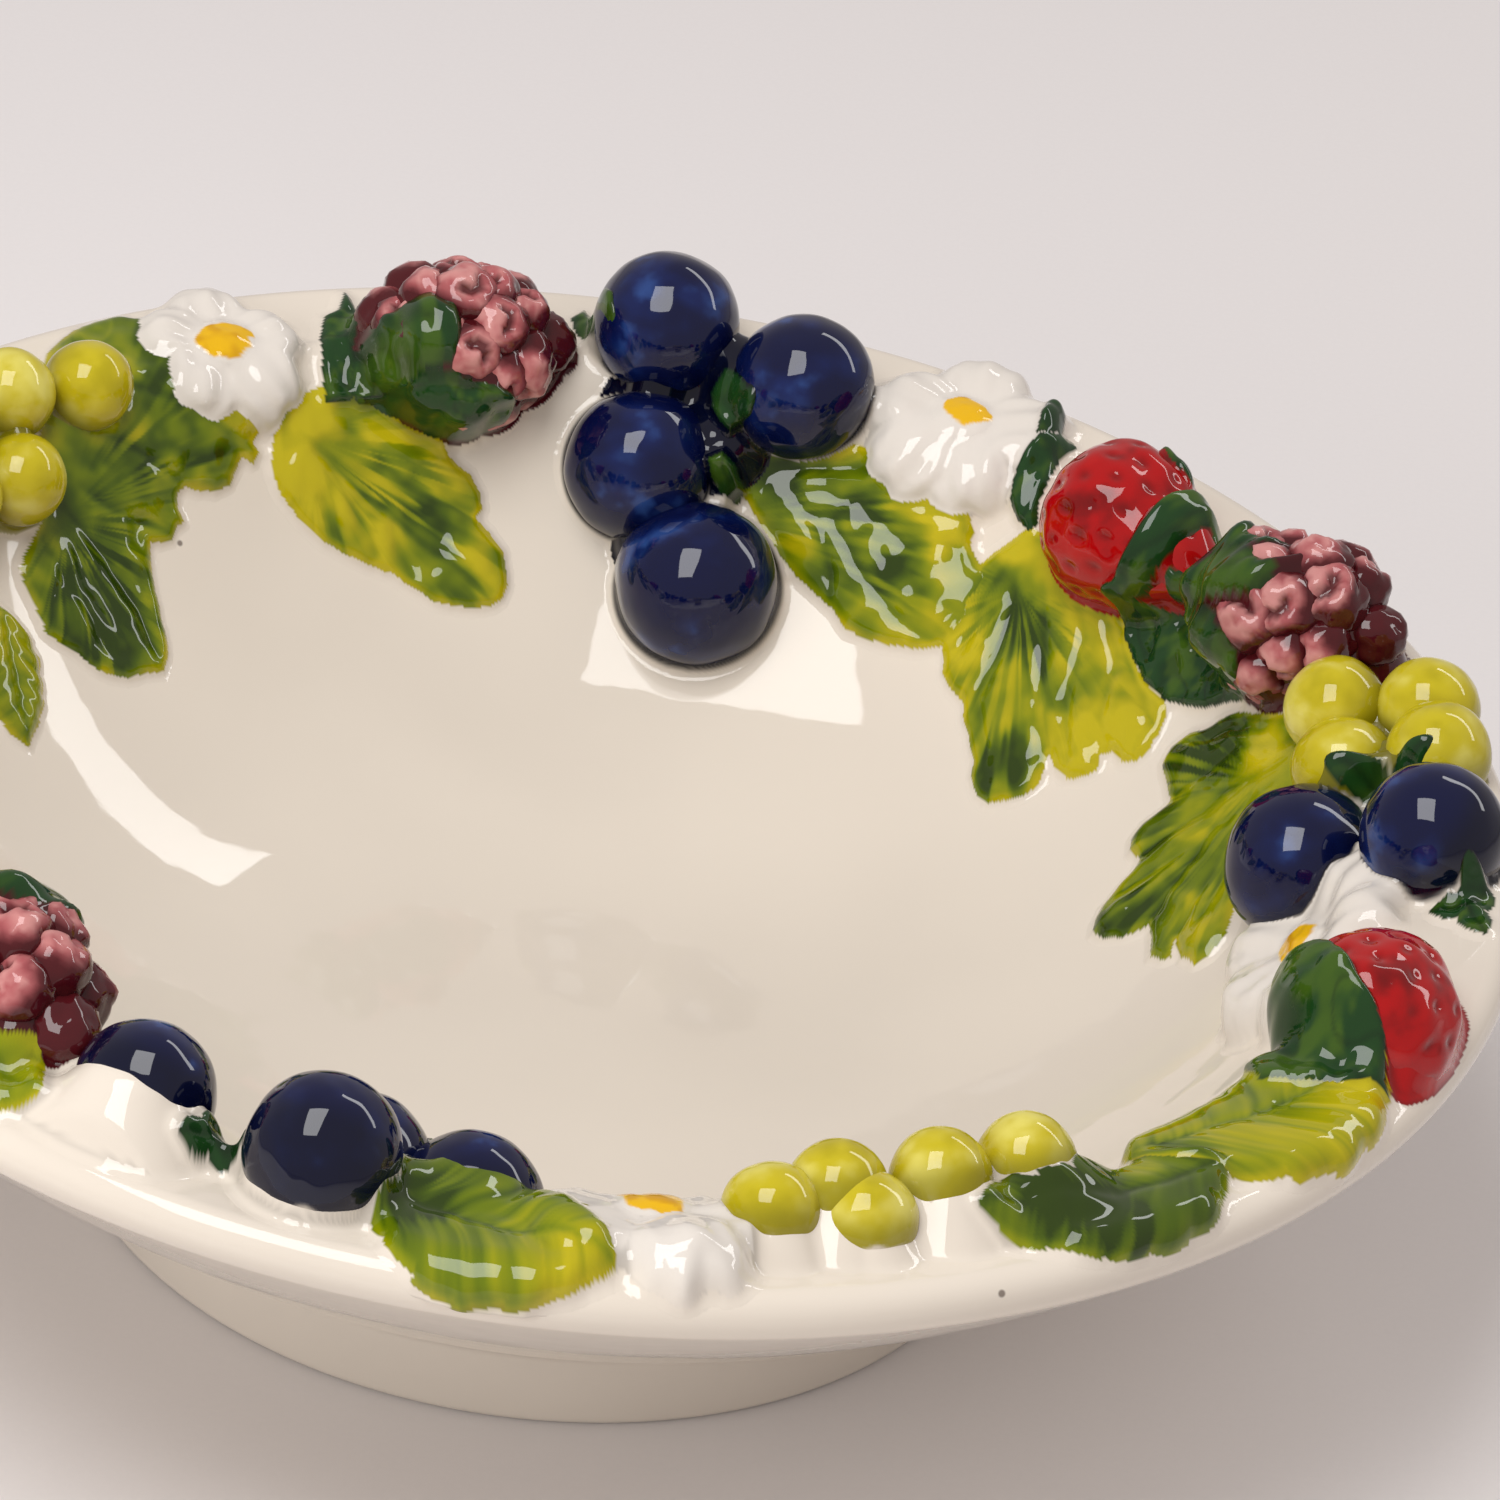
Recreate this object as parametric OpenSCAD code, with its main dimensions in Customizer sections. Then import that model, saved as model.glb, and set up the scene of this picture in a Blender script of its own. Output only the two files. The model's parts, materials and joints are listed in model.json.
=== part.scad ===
// Glazed earthenware fruit bowl on a foot ring, with an applied garland of fruit,
// leaves and blossoms in high relief all round the rim.
// Origin: centre of the foot ring on the table. +Z up. Millimetres.

/* [Bowl] */
// Outer diameter of the rim
rim_d = 300; // [270:1:330]
// Height of the rim above the table
rim_h = 78; // [70:1:90]
// Radius of the rounded lip
lip_r = 4; // [3:0.5:5]
// Width of the shelf between the lip and the basin
shelf_w = 13.4; // [10:0.2:16]
// Radius of the roll between the shelf and the basin
shelf_r = 8; // [5:0.5:10]
// Fall of the shelf from the lip to the roll
shelf_drop = 2.5; // [1:0.5:4]
// Diameter of the flat middle of the basin
floor_d = 70; // [50:2:90]
// Height of the basin's floor above the table
floor_h = 18.5; // [16:0.5:22]
// Thickness of the floor
floor_t = 6; // [4:0.5:8]
// Radius of the swell of the outer wall
belly_r = 450; // [350:10:700]

/* [Foot] */
// Outer diameter of the foot ring where it stands
foot_d = 152; // [140:1:164]
// Height of the foot ring on its outside
foot_h = 15.8; // [14:0.2:18]
// How far the foot ring widens towards the bowl
foot_flare = 2.5; // [0:0.5:4]
// Thickness of the foot ring
foot_wall = 12; // [8:0.5:15]
// Bevel along both lower edges of the foot ring
foot_bevel = 1.2; // [0.5:0.1:2]

/* [Fruit] */
// Diameter of a blueberry
blueberry_d = 24.4; // [18:0.2:26]
// Diameter of a grape
grape_d = 15.4; // [12:0.2:18]
// Diameter of a strawberry at its shoulder
strawberry_d = 28; // [22:0.5:32]
// Length of a strawberry
strawberry_len = 36; // [28:0.5:40]
// Diameter of the seed pits in a strawberry
pit_d = 2.2; // [1.5:0.1:3]
// Diameter of a bramble over its drupelets
bramble_d = 29; // [24:0.5:31]
// Length of a bramble over its drupelets
bramble_len = 39; // [32:0.5:42]
// Diameter of one drupelet
drupelet_d = 7.6; // [5.5:0.1:9]

/* [Leaves and blossoms] */
// Thickness of a leaf on the wall
leaf_t = 2.8; // [1.8:0.1:4]
// Width of a single leaf
leaf_w = 27; // [20:0.5:32]
// Width of one lobe of a lobed leaf
lobe_w = 17; // [12:0.5:20]
// Depth of the vein grooves
vein_depth = 0.8; // [0.4:0.1:1.2]
// Width of the vein grooves at their root
vein_w = 1.4; // [0.8:0.1:2]
// Thickness of the sepals on the berries
sepal_t = 1.3; // [0.8:0.1:2]
// Clearance of the leaves round the fruit, in plan
sprig_gap = 0.1; // [0.05:0.05:0.4]
// Diameter of the ball that shapes one petal
petal_d = 15.4; // [12:0.2:18]
// Distance of the petal balls from the middle of their blossom
petal_reach = 8.6; // [7:0.2:11]
// Diameter of a blossom's yellow middle
middle_d = 9; // [6:0.5:11]
// Length of the leaflets of a calyx
calyx_len = 8; // [5:0.5:10]
// Width of the leaflets of a calyx at their root
calyx_w = 5.6; // [4:0.2:7]

/* [Hidden] */
$fn = 48;

// One overrun for every cut
over = 1;
rim_r = rim_d / 2;
foot_r = foot_d / 2;
floor_r = floor_d / 2;

// Section of the bowl in radius and height: the lip and the roll of the shelf are circles,
// and the wall of the basin is the arc that leaves the flat floor level and meets the roll
lip_c = [rim_r - lip_r, rim_h - lip_r];
roll_c = [lip_c.x - shelf_w, rim_h - shelf_drop - shelf_r];
roll_run = roll_c.x - floor_r;
roll_rise = roll_c.y - floor_h;
basin_r = (pow(roll_run, 2) + pow(roll_rise, 2) - pow(shelf_r, 2)) / (2 * (roll_rise + shelf_r));
basin_c = [floor_r, floor_h + basin_r];
basin_dir = (roll_c - basin_c) / norm(roll_c - basin_c);
// Slope of the shelf, which touches both circles
shelf_line = lip_c - roll_c;
shelf_slope = atan2(shelf_line.y, shelf_line.x) - asin((shelf_r - lip_r) / norm(shelf_line));
shelf_n = [-sin(shelf_slope), cos(shelf_slope)];

// The swell of the outer wall starts on the foot ring and ends against the lip
foot_top = [foot_r + foot_flare, foot_h];
belly_chord = norm(lip_c - foot_top);
belly_u = (lip_c - foot_top) / belly_chord;
belly_a = (pow(belly_r, 2) - pow(belly_r - lip_r, 2) + pow(belly_chord, 2)) / (2 * belly_chord);
belly_c = foot_top + belly_a * belly_u
    + sqrt(pow(belly_r, 2) - pow(belly_a, 2)) * [-belly_u.y, belly_u.x];
belly_out = lip_c + (lip_r + over) * (lip_c - belly_c) / norm(lip_c - belly_c);

// Height of the bowl's upper surface at a radius
function surface_z(r) =
    r <= floor_r ? floor_h :
    r <= basin_c.x + basin_r * basin_dir.x
        ? basin_c.y - sqrt(pow(basin_r, 2) - pow(r - floor_r, 2)) :
    r <= roll_c.x + shelf_r * shelf_n.x
        ? roll_c.y + sqrt(pow(shelf_r, 2) - pow(r - roll_c.x, 2)) :
    roll_c.y + shelf_r * shelf_n.y + (r - roll_c.x - shelf_r * shelf_n.x) * tan(shelf_slope);

// Chords that follow the upper surface, raised by t, and never dip below it:
// points on the hollow basin, corners of a circumscribed line round the roll and the lip
basin_end = atan2(basin_dir.x, -basin_dir.y);
function round_line(c, r, from, to, steps) =
    let (half = (to - from) / steps / 2)
        [for (i = [0:steps - 1])
            let (a = from + (2 * i + 1) * half)
                c + r / cos(half) * [cos(a), sin(a)]];
function wall_line(t) = concat(
    [for (i = [0:10])
        let (a = basin_end * i / 10)
            basin_c + (basin_r - t) * [sin(a), -cos(a)]],
    round_line(roll_c, shelf_r + t, basin_end + 90, shelf_slope + 90, 4),
    round_line(lip_c, lip_r + t, shelf_slope + 90, -60, 6)
);

// Part of the bowl's mass on both sides of an azimuth, which the sprigs there are cut by
sector = 90;
module bowl_mass(az, t = 0) {
    rotate([0, 0, az - sector / 2])
        rotate_extrude(angle = sector, $fn = 180)
            polygon(concat(
                [[floor_r, -over]],
                wall_line(t),
                [[lip_c.x, -over]]
            ));
}

module bowl_section() {
    intersection() {
        union() {
            difference() {
                polygon([
                    [0, floor_h - floor_t],
                    [belly_out.x, floor_h - floor_t],
                    belly_out,
                    lip_c,
                    lip_c + lip_r * shelf_n,
                    roll_c + shelf_r * shelf_n,
                    roll_c,
                    basin_c + basin_r * basin_dir,
                    [floor_r, floor_h],
                    [0, floor_h]
                ]);
                translate(basin_c)
                    circle(r = basin_r, $fn = 180);
            }
            translate(roll_c)
                circle(r = shelf_r);
            translate(lip_c)
                circle(r = lip_r);
        }
        translate(belly_c)
            circle(r = belly_r, $fn = 360);
    }
}

module bowl_body() {
    color("ivory")
        rotate_extrude($fn = 180)
            bowl_section();
}

module foot_ring() {
    foot_in = foot_r - foot_wall;
    color("ivory")
        rotate_extrude($fn = 180)
            difference() {
                polygon([
                    [foot_in + foot_bevel, 0],
                    [foot_r - foot_bevel, 0],
                    [foot_r, foot_bevel],
                    foot_top,
                    [foot_in, foot_h],
                    [foot_in, foot_bevel]
                ]);
                bowl_section();
            }
}

// Puts a piece over the bowl: azimuth, share of the rim's radius, height above the surface,
// lean towards the middle and turn about its own upright
module seat(az, share, lift, lean = 0, turn = 0) {
    r = share * rim_r;
    rotate([0, 0, az])
        translate([r, 0, surface_z(r) + lift])
            rotate([0, -lean, 0])
                rotate([0, 0, turn])
                    children();
}

// Berries as balls that sink into the clay.
// Each row: azimuth, share of the rim's radius, lift and size as shares of the berry's radius
blueberry_back_shares = [
    [88.1, 0.888, 0.56, 1], [76.3, 0.842, 0.56, 0.97], [88.6, 0.758, 0.8, 0.98], [81.7, 0.643, 0.8, 1.04]
];
blueberry_right_shares = [[5.2, 0.775, 0.65, 0.94], [359.4, 0.895, 0.5, 0.96]];
blueberry_front_shares = [
    [266.3, 0.81, 0.6, 0.9], [257, 0.88, 0.58, 1], [257.5, 0.775, 1.1, 0.98], [244, 0.86, 0.75, 0.9]
];
blueberry_left_shares = [[204, 0.885, 0.56, 0.96], [214.5, 0.87, 0.58, 0.94], [208.5, 0.77, 0.75, 0.96]];
grape_left_shares = [
    [142, 0.872, 0.7, 1], [135.4, 0.85, 0.7, 1], [144.9, 0.807, 0.85, 1.02],
    [148.8, 0.88, 0.7, 0.98], [151.8, 0.82, 0.75, 1], [154.6, 0.87, 0.7, 0.96]
];
grape_right_shares = [
    [18.5, 0.843, 0.7, 1.02], [15.7, 0.933, 0.7, 1], [12.3, 0.83, 0.7, 1.05], [10.2, 0.925, 0.7, 1.05]
];
grape_front_shares = [
    [304, 0.853, 1.3, 0.98], [297.5, 0.853, 1.35, 1], [290.3, 0.85, 1.4, 1],
    [285.7, 0.867, 0.8, 1], [291.7, 0.885, 0.6, 1], [300.8, 0.79, 0.8, 1],
    [294.4, 0.785, 0.8, 1], [297.6, 0.715, 0.7, 1], [304, 0.735, 0.7, 0.95]
];

module berries(shares, d) {
    for (b = shares) {
        r = b[3] * d / 2;
        seat(b[0], b[1], b[2] * r)
            sphere(r = r);
    }
}

// Room that berries, petals and lying berries take up in plan, for the leaves round them
module berries_plan(shares, d) {
    for (b = shares)
        rotate([0, 0, b[0]])
            translate([b[1] * rim_r, 0])
                circle(r = b[3] * d / 2 + sprig_gap);
}

module blueberries(shares) {
    color("midnightblue")
        difference() {
            berries(shares, blueberry_d);
            bowl_mass(shares[0][0]);
        }
}

module grapes(shares) {
    color("yellowgreen")
        difference() {
            berries(shares, grape_d);
            bowl_mass(shares[0][0]);
        }
}

// Calyxes: three leaflets in one cap, each row as for the berries without a size
calyx_back_shares = [[94.3, 0.89, 0.15], [81.9, 0.812, 0.55], [79.9, 0.742, 0.35]];
calyx_right_shares = [[7.6, 0.853, 0.25], [353.8, 0.92, 0.2]];
calyx_front_shares = [[249.8, 0.885, 0.55], [262, 0.805, 1]];
calyx_left_shares = [[209, 0.872, 0.62]];

module calyx(turn) {
    root = calyx_w / 2;
    intersection() {
        translate([0, 0, -calyx_len])
            sphere(r = calyx_len + root);
        translate([0, 0, -calyx_len])
            linear_extrude(height = 2 * calyx_len)
                polygon([
                    for (i = [0:5])
                        let (a = turn + i * 60)
                            (i % 2 == 0 ? calyx_len : 0.45 * root) * [cos(a), sin(a)]
                ]);
    }
}

module calyxes(shares, berry_shares) {
    color("darkgreen")
        difference() {
            for (c = shares)
                seat(c[0], c[1], c[2] * blueberry_d / 2, 30)
                    calyx(17);
            bowl_mass(shares[0][0], leaf_t + sprig_gap);
            berries(berry_shares, blueberry_d);
            children();
        }
}

// Berries that lie on the rim: azimuth, share of the rim's radius,
// lift as a share of the berry's radius, lean, turn of the stem-to-tip line
strawberry_back_seat = [45, 0.832, 0.52, 26, -92];
strawberry_right_seat = [337.5, 0.9, 0.36, 12, 92];
strawberry_left_seat = [170, 0.86, 0.6, 26, -88];
bramble_back_seat = [103.2, 0.838, 0.52, 26, -88];
bramble_right_seat = [28.2, 0.862, 0.5, 26, -58];
bramble_left_seat = [230.6, 0.845, 0.7, 24, 90];

module lay(s, d, len) {
    seat(s[0], s[1], s[2] * d / 2, s[3], s[4])
        rotate([0, 90, 0])
            translate([0, 0, -len / 2])
                children();
}

// Half outline of a berry from stem to tip, fullest near its shoulder
function berry_radius(t, d, shoulder) = d / 2 * pow(sin(180 * pow(t, shoulder)), 0.72);
function berry_line(d, len, shoulder, grow, steps) = [
    for (i = [0:steps])
        let (t = i / steps)
            [berry_radius(t, d, shoulder) + grow * sin(180 * t), (len + 2 * grow) * t - grow]
];

module berry_solid(d, len, shoulder, grow = 0) {
    rotate_extrude()
        polygon(berry_line(d, len, shoulder, grow, 14));
}

module lying_plan(s, d, len, shoulder) {
    half = [
        for (p = berry_line(d, len, shoulder, sepal_t + sprig_gap, 10))
            [p.y - len / 2, p.x]
    ];
    rotate([0, 0, s[0]])
        translate([s[1] * rim_r, 0])
            rotate([0, 0, s[4]])
                polygon(concat(half, [for (i = [len(half) - 2:-1:1]) [half[i].x, -half[i].y]]));
}

strawberry_shoulder = 0.62;
bramble_shoulder = 0.85;

// Pits of the seeds: share of the length and number round the berry
pit_rings = [[0.34, 11], [0.48, 11], [0.62, 9], [0.76, 7]];

module strawberry(s) {
    color("red")
        difference() {
            lay(s, strawberry_d, strawberry_len)
                difference() {
                    berry_solid(strawberry_d, strawberry_len, strawberry_shoulder);
                    for (k = [0:len(pit_rings) - 1], i = [0:pit_rings[k][1] - 1])
                        let (
                            t = pit_rings[k][0],
                            a = (i + 0.5 * (k % 2)) * 360 / pit_rings[k][1]
                        )
                            if (cos(a) < 0.2)
                                rotate([0, 0, a])
                                    translate([
                                        berry_radius(t, strawberry_d, strawberry_shoulder) + pit_d / 6,
                                        0,
                                        t * strawberry_len
                                    ])
                                        sphere(r = pit_d / 2, $fn = 16);
                }
            bowl_mass(s[0]);
        }
}

// Drupelets: rings by share of the length, packed by their own size, above the wall only
drupelet_ring_shares = [0.08, 0.23, 0.38, 0.53, 0.68, 0.81, 0.92];

module drupelets(d, len) {
    r = drupelet_d / 2;
    core_d = d - drupelet_d;
    for (k = [0:len(drupelet_ring_shares) - 1]) {
        t = drupelet_ring_shares[k];
        ring = berry_radius(t, core_d, bramble_shoulder);
        count = max(3, round(2 * PI * ring / (0.98 * drupelet_d)));
        for (i = [0:count - 1]) {
            a = (i + 0.5 * (k % 2)) * 360 / count;
            if (cos(a) < 0.45)
                rotate([0, 0, a])
                    translate([ring, 0, r + t * (len - drupelet_d)])
                        sphere(r = r, $fn = 24);
        }
    }
}

module bramble(s) {
    color("rosybrown")
        difference() {
            lay(s, bramble_d, bramble_len) {
                translate([0, 0, drupelet_d / 4])
                    berry_solid(bramble_d - drupelet_d / 2, bramble_len - drupelet_d / 2, bramble_shoulder);
                drupelets(bramble_d, bramble_len);
            }
            bowl_mass(s[0]);
        }
}

// Five sepals as a star that follows the berry's shoulder
module sepal_star(d) {
    steps = 40;
    linear_extrude(height = 2 * d)
        polygon([
            for (i = [0:steps - 1])
                let (
                    a = i * 360 / steps,
                    share = 0.36 + 0.6 * pow(abs(cos(2.5 * a)), 1.6)
                )
                    share * d / 2 * [cos(a), sin(a)]
        ]);
}

module sepals(s, d, len, shoulder, reach_share, rise = 0, spin = 0) {
    color("darkgreen")
        difference() {
            lay(s, d, len)
                difference() {
                    intersection() {
                        berry_solid(d, len, shoulder, rise + sepal_t);
                        translate([0, 0, -d])
                            rotate([0, 0, spin])
                                sepal_star(d);
                        translate([0, 0, -over - sepal_t])
                            cylinder(h = reach_share * len + over + sepal_t, r = d);
                    }
                    berry_solid(d, len, shoulder, rise);
                }
            bowl_mass(s[0]);
        }
}

// Blossoms: azimuth, share of the rim's radius, lift as a share of the petal's radius, lean, turn
blossom_back_left_seat = [122.3, 0.885, 0.42, 22, 10];
blossom_back_right_seat = [64.8, 0.885, 0.42, 24, 20];
blossom_right_seat = [356.2, 0.815, 0.5, 40, 7];
blossom_front_seat = [278.2, 0.868, 0.6, 20, 30];
blossom_left_seat = [188, 0.88, 0.42, 24, 14];
petal_shares = [1, 0.94, 1.02, 0.97, 0.99];
petal_sink = 0.35;

module petal_balls(s) {
    seat(s[0], s[1], s[2] * petal_d / 2, s[3], s[4])
        for (i = [0:len(petal_shares) - 1])
            rotate([0, 0, i * 360 / len(petal_shares)])
                translate([petal_reach, 0, -petal_sink * petal_d / 2])
                    sphere(r = petal_shares[i] * petal_d / 2);
}

module petals_plan(s) {
    for (i = [0:len(petal_shares) - 1]) {
        a = s[4] + i * 360 / len(petal_shares);
        rotate([0, 0, s[0]])
            translate([
                s[1] * rim_r + petal_reach * cos(a) * cos(s[3]) + petal_sink * petal_d / 2 * sin(s[3]),
                petal_reach * sin(a)
            ])
                circle(r = petal_shares[i] * petal_d / 2 + sprig_gap);
    }
}

module middle_ball(s) {
    r = petal_d / 2;
    seat(s[0], s[1], s[2] * r, s[3], s[4])
        translate([0, 0, 0.16 * r])
            sphere(r = middle_d / 2);
}

module petals(s) {
    color("white")
        difference() {
            petal_balls(s);
            bowl_mass(s[0]);
            middle_ball(s);
            children();
        }
}

module middle(s) {
    color("gold")
        difference() {
            middle_ball(s);
            bowl_mass(s[0]);
        }
}

// Leaves are drawn on the wall: a row holds azimuth and share of the rim's radius of the base,
// the same of the tip, and the leaf's width as a share of the driving width
leaf_back_left_row = [116.4, 0.81, 101, 0.66, 1.2];
leaf_back_right_row = [80.2, 0.79, 58, 0.735, 0.98];
small_leaf_left_row = [151.5, 0.735, 158.5, 0.66, 0.55];
leaf_left_long_row = [196, 0.8, 180, 0.68, 1];
leaf_front_right_row = [312.5, 0.875, 330, 0.95, 1.25];
leaf_front_dark_row = [314.6, 0.94, 297.8, 0.925, 0.95];
leaf_front_serrated_row = [261, 0.89, 275.4, 0.965, 1.15];
leaf_front_left_row = [226.5, 0.9, 240, 0.945, 0.7];
vine_leaf_left_rows = [
    [138.6, 0.85, 121, 0.785, 1.3], [138.8, 0.846, 128.4, 0.725, 1.3],
    [139, 0.853, 142, 0.645, 1.35], [138.4, 0.843, 126.9, 0.88, 1]
];
lobed_leaf_back_rows = [
    [55.8, 0.8, 43.6, 0.615, 1.25], [56.1, 0.803, 37.5, 0.675, 1.1],
    [55.9, 0.807, 34.5, 0.745, 1.05], [55.5, 0.81, 56.5, 0.68, 1.05]
];
vine_leaf_right_rows = [
    [20.5, 0.815, 17.8, 0.605, 0.95], [20.7, 0.818, 10.5, 0.645, 0.9],
    [20.9, 0.812, 6.9, 0.695, 0.8], [20.2, 0.819, 28.5, 0.655, 0.9], [20.4, 0.81, 31, 0.76, 0.9]
];
leaf_slope = 42;

function leaf_mid_r(row) = rim_r * (row[1] + row[3]) / 2;
function leaf_span(row) = [
    (row[2] - row[0]) * PI / 180 * leaf_mid_r(row),
    rim_r * (row[3] - row[1]) / cos(leaf_slope)
];
// Plan position of a point given along the leaf by its share t and across it by a length
function leaf_xy(row, t, across) =
    let (
        span = leaf_span(row),
        u = span / norm(span),
        p = t * span + across * [-u.y, u.x],
        az = row[0] + p.x / leaf_mid_r(row) * 180 / PI,
        r = rim_r * row[1] + p.y * cos(leaf_slope)
    )
        r * [cos(az), sin(az)];
function blade_share(t) = pow(sin(180 * pow(t, 0.8)), 0.7);
teeth = 7;
tooth_share = 0.13;
function leaf_side(row, w, side) = [
    for (i = [0:teeth - 1], k = [0, 1])
        let (t = (i + 0.12 + 0.76 * k) / teeth)
            leaf_xy(row, t, side * w / 2 * blade_share(t) * (1 - tooth_share * (1 - k)))
];
function leaf_outline(row, w) = concat(
    [leaf_xy(row, 0, 0)],
    leaf_side(row, w, 1),
    [leaf_xy(row, 1, 0)],
    [for (i = [2 * teeth - 1:-1:0]) leaf_side(row, w, -1)[i]]
);

module blade_plan(rows, w) {
    for (row = rows)
        polygon(leaf_outline(row, row[4] * w));
}

// Midrib and side veins in one outline like a fish bone
vein_shares = [0.16, 0.32, 0.48, 0.64];
function bone_side(row, w, side) = [
    for (t = vein_shares)
        each [
            leaf_xy(row, t - vein_w / 2 / norm(leaf_span(row)), side * vein_w / 3 * (1 - t)),
            leaf_xy(row, t + 0.18, 0.72 * side * w / 2 * blade_share(t + 0.18)),
            leaf_xy(row, t + vein_w / 2 / norm(leaf_span(row)), side * vein_w / 3 * (1 - t))
        ]
];
module vein_plan(row, w) {
    left = bone_side(row, w, 1);
    right = bone_side(row, w, -1);
    polygon(concat(
        [leaf_xy(row, 0.08, 0)],
        left,
        [leaf_xy(row, 0.92, 0)],
        [for (i = [len(right) - 1:-1:0]) right[i]]
    ));
}

// Leaf that lies on the wall, less the fruit's room in plan
module wall_leaf(rows, w, shade) {
    az = (rows[0][0] + rows[0][2]) / 2;
    color(shade)
        difference() {
            intersection() {
                linear_extrude(height = 2 * rim_h)
                    difference() {
                        blade_plan(rows, w);
                        children();
                    }
                bowl_mass(az, leaf_t);
            }
            bowl_mass(az);
            for (row = rows)
                difference() {
                    linear_extrude(height = 2 * rim_h)
                        vein_plan(row, row[4] * w);
                    bowl_mass(az, leaf_t - vein_depth);
                }
        }
}

// Section over the rim that the front leaves are draped on, in shares of the rim's size
drape_shares = [
    [0.994, 0.97], [0.988, 1.015], [0.97, 1.04], [0.88, 1.07], [0.86, 1.062], [0.842, 1.03],
    [0.826, 0.97], [0.81, 0.88], [0.79, 0.75]
];
module drape_mass(az, drop = 0) {
    rotate([0, 0, az - sector / 2])
        rotate_extrude(angle = sector, $fn = 180)
            translate([0, -drop])
                polygon(concat(
                    [[floor_r, 0], [lip_c.x - lip_r, 0], lip_c],
                    [for (p = drape_shares) [p.x * rim_r, p.y * rim_h]],
                    [[floor_r, drape_shares[8].y * rim_h]]
                ));
}

module rim_leaf(row, w, shade) {
    az = (row[0] + row[2]) / 2;
    color(shade)
        difference() {
            intersection() {
                linear_extrude(height = 2 * rim_h)
                    difference() {
                        blade_plan([row], w);
                        children();
                    }
                drape_mass(az);
            }
            bowl_mass(az);
            difference() {
                linear_extrude(height = 2 * rim_h)
                    vein_plan(row, row[4] * w);
                drape_mass(az, vein_depth);
            }
        }
}

module strawberry_plan(s) {
    lying_plan(s, strawberry_d, strawberry_len, strawberry_shoulder);
}

module bramble_plan(s) {
    lying_plan(s, bramble_d, bramble_len, bramble_shoulder);
}

module strawberry_sepals(s, spin = 0) {
    sepals(s, strawberry_d, strawberry_len, strawberry_shoulder, 0.36, 0, spin);
}

module bramble_sepals(s) {
    sepals(s, bramble_d, bramble_len, bramble_shoulder, 0.5, drupelet_d / 10);
}

// The garland, clockwise from the left grapes
module grapes_left() {
    grapes(grape_left_shares);
}

module vine_leaf_left() {
    wall_leaf(vine_leaf_left_rows, lobe_w, "forestgreen") {
        berries_plan(grape_left_shares, grape_d);
        petals_plan(blossom_back_left_seat);
    }
}

module small_leaf_left() {
    wall_leaf([small_leaf_left_row], leaf_w, "olivedrab")
        berries_plan(grape_left_shares, grape_d);
}

module blossom_back_left_petals() {
    petals(blossom_back_left_seat);
}

module blossom_back_left_middle() {
    middle(blossom_back_left_seat);
}

module bramble_back() {
    bramble(bramble_back_seat);
}

module bramble_back_sepals() {
    bramble_sepals(bramble_back_seat);
}

module leaf_back_left() {
    wall_leaf([leaf_back_left_row], leaf_w, "yellowgreen") {
        bramble_plan(bramble_back_seat);
        petals_plan(blossom_back_left_seat);
    }
}

module blueberries_back() {
    blueberries(blueberry_back_shares);
}

module blueberries_back_calyxes() {
    calyxes(calyx_back_shares, blueberry_back_shares);
}

module leaf_back_right() {
    wall_leaf([leaf_back_right_row], leaf_w, "olivedrab") {
        berries_plan(blueberry_back_shares, blueberry_d);
        petals_plan(blossom_back_right_seat);
    }
}

module blossom_back_right_petals() {
    petals(blossom_back_right_seat);
}

module blossom_back_right_middle() {
    middle(blossom_back_right_seat);
}

module strawberry_back() {
    strawberry(strawberry_back_seat);
}

module strawberry_back_sepals() {
    strawberry_sepals(strawberry_back_seat);
}

module lobed_leaf_back() {
    wall_leaf(lobed_leaf_back_rows, lobe_w, "yellowgreen") {
        strawberry_plan(strawberry_back_seat);
        bramble_plan(bramble_right_seat);
        petals_plan(blossom_back_right_seat);
        blade_plan([leaf_back_right_row], leaf_w);
    }
}

module bramble_right() {
    bramble(bramble_right_seat);
}

module bramble_right_sepals() {
    color("darkgreen")
        difference() {
            bramble_sepals(bramble_right_seat);
            linear_extrude(height = 2 * rim_h)
                strawberry_plan(strawberry_back_seat);
        }
}

module grapes_right() {
    grapes(grape_right_shares);
}

module vine_leaf_right() {
    wall_leaf(vine_leaf_right_rows, lobe_w, "forestgreen") {
        berries_plan(grape_right_shares, grape_d);
        berries_plan(blueberry_right_shares, blueberry_d);
        bramble_plan(bramble_right_seat);
    }
}

module blueberries_right() {
    blueberries(blueberry_right_shares);
}

module blueberries_right_calyxes() {
    calyxes(calyx_right_shares, blueberry_right_shares)
        berries(grape_right_shares, grape_d);
}

module blossom_right_petals() {
    petals(blossom_right_seat)
        berries(blueberry_right_shares, blueberry_d);
}

module blossom_right_middle() {
    middle(blossom_right_seat);
}

module strawberry_right() {
    strawberry(strawberry_right_seat);
}

module strawberry_right_sepals() {
    strawberry_sepals(strawberry_right_seat, 12);
}

module leaf_front_right() {
    rim_leaf(leaf_front_right_row, leaf_w, "yellowgreen")
        strawberry_plan(strawberry_right_seat);
}

module leaf_front_dark() {
    rim_leaf(leaf_front_dark_row, leaf_w, "forestgreen") {
        berries_plan(grape_front_shares, grape_d);
        blade_plan([leaf_front_right_row], leaf_w);
    }
}

module grapes_front() {
    grapes(grape_front_shares);
}

module blossom_front_petals() {
    petals(blossom_front_seat)
        berries([for (b = grape_front_shares) if (b[0] < 292) b], grape_d);
}

module blossom_front_middle() {
    middle(blossom_front_seat);
}

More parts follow.
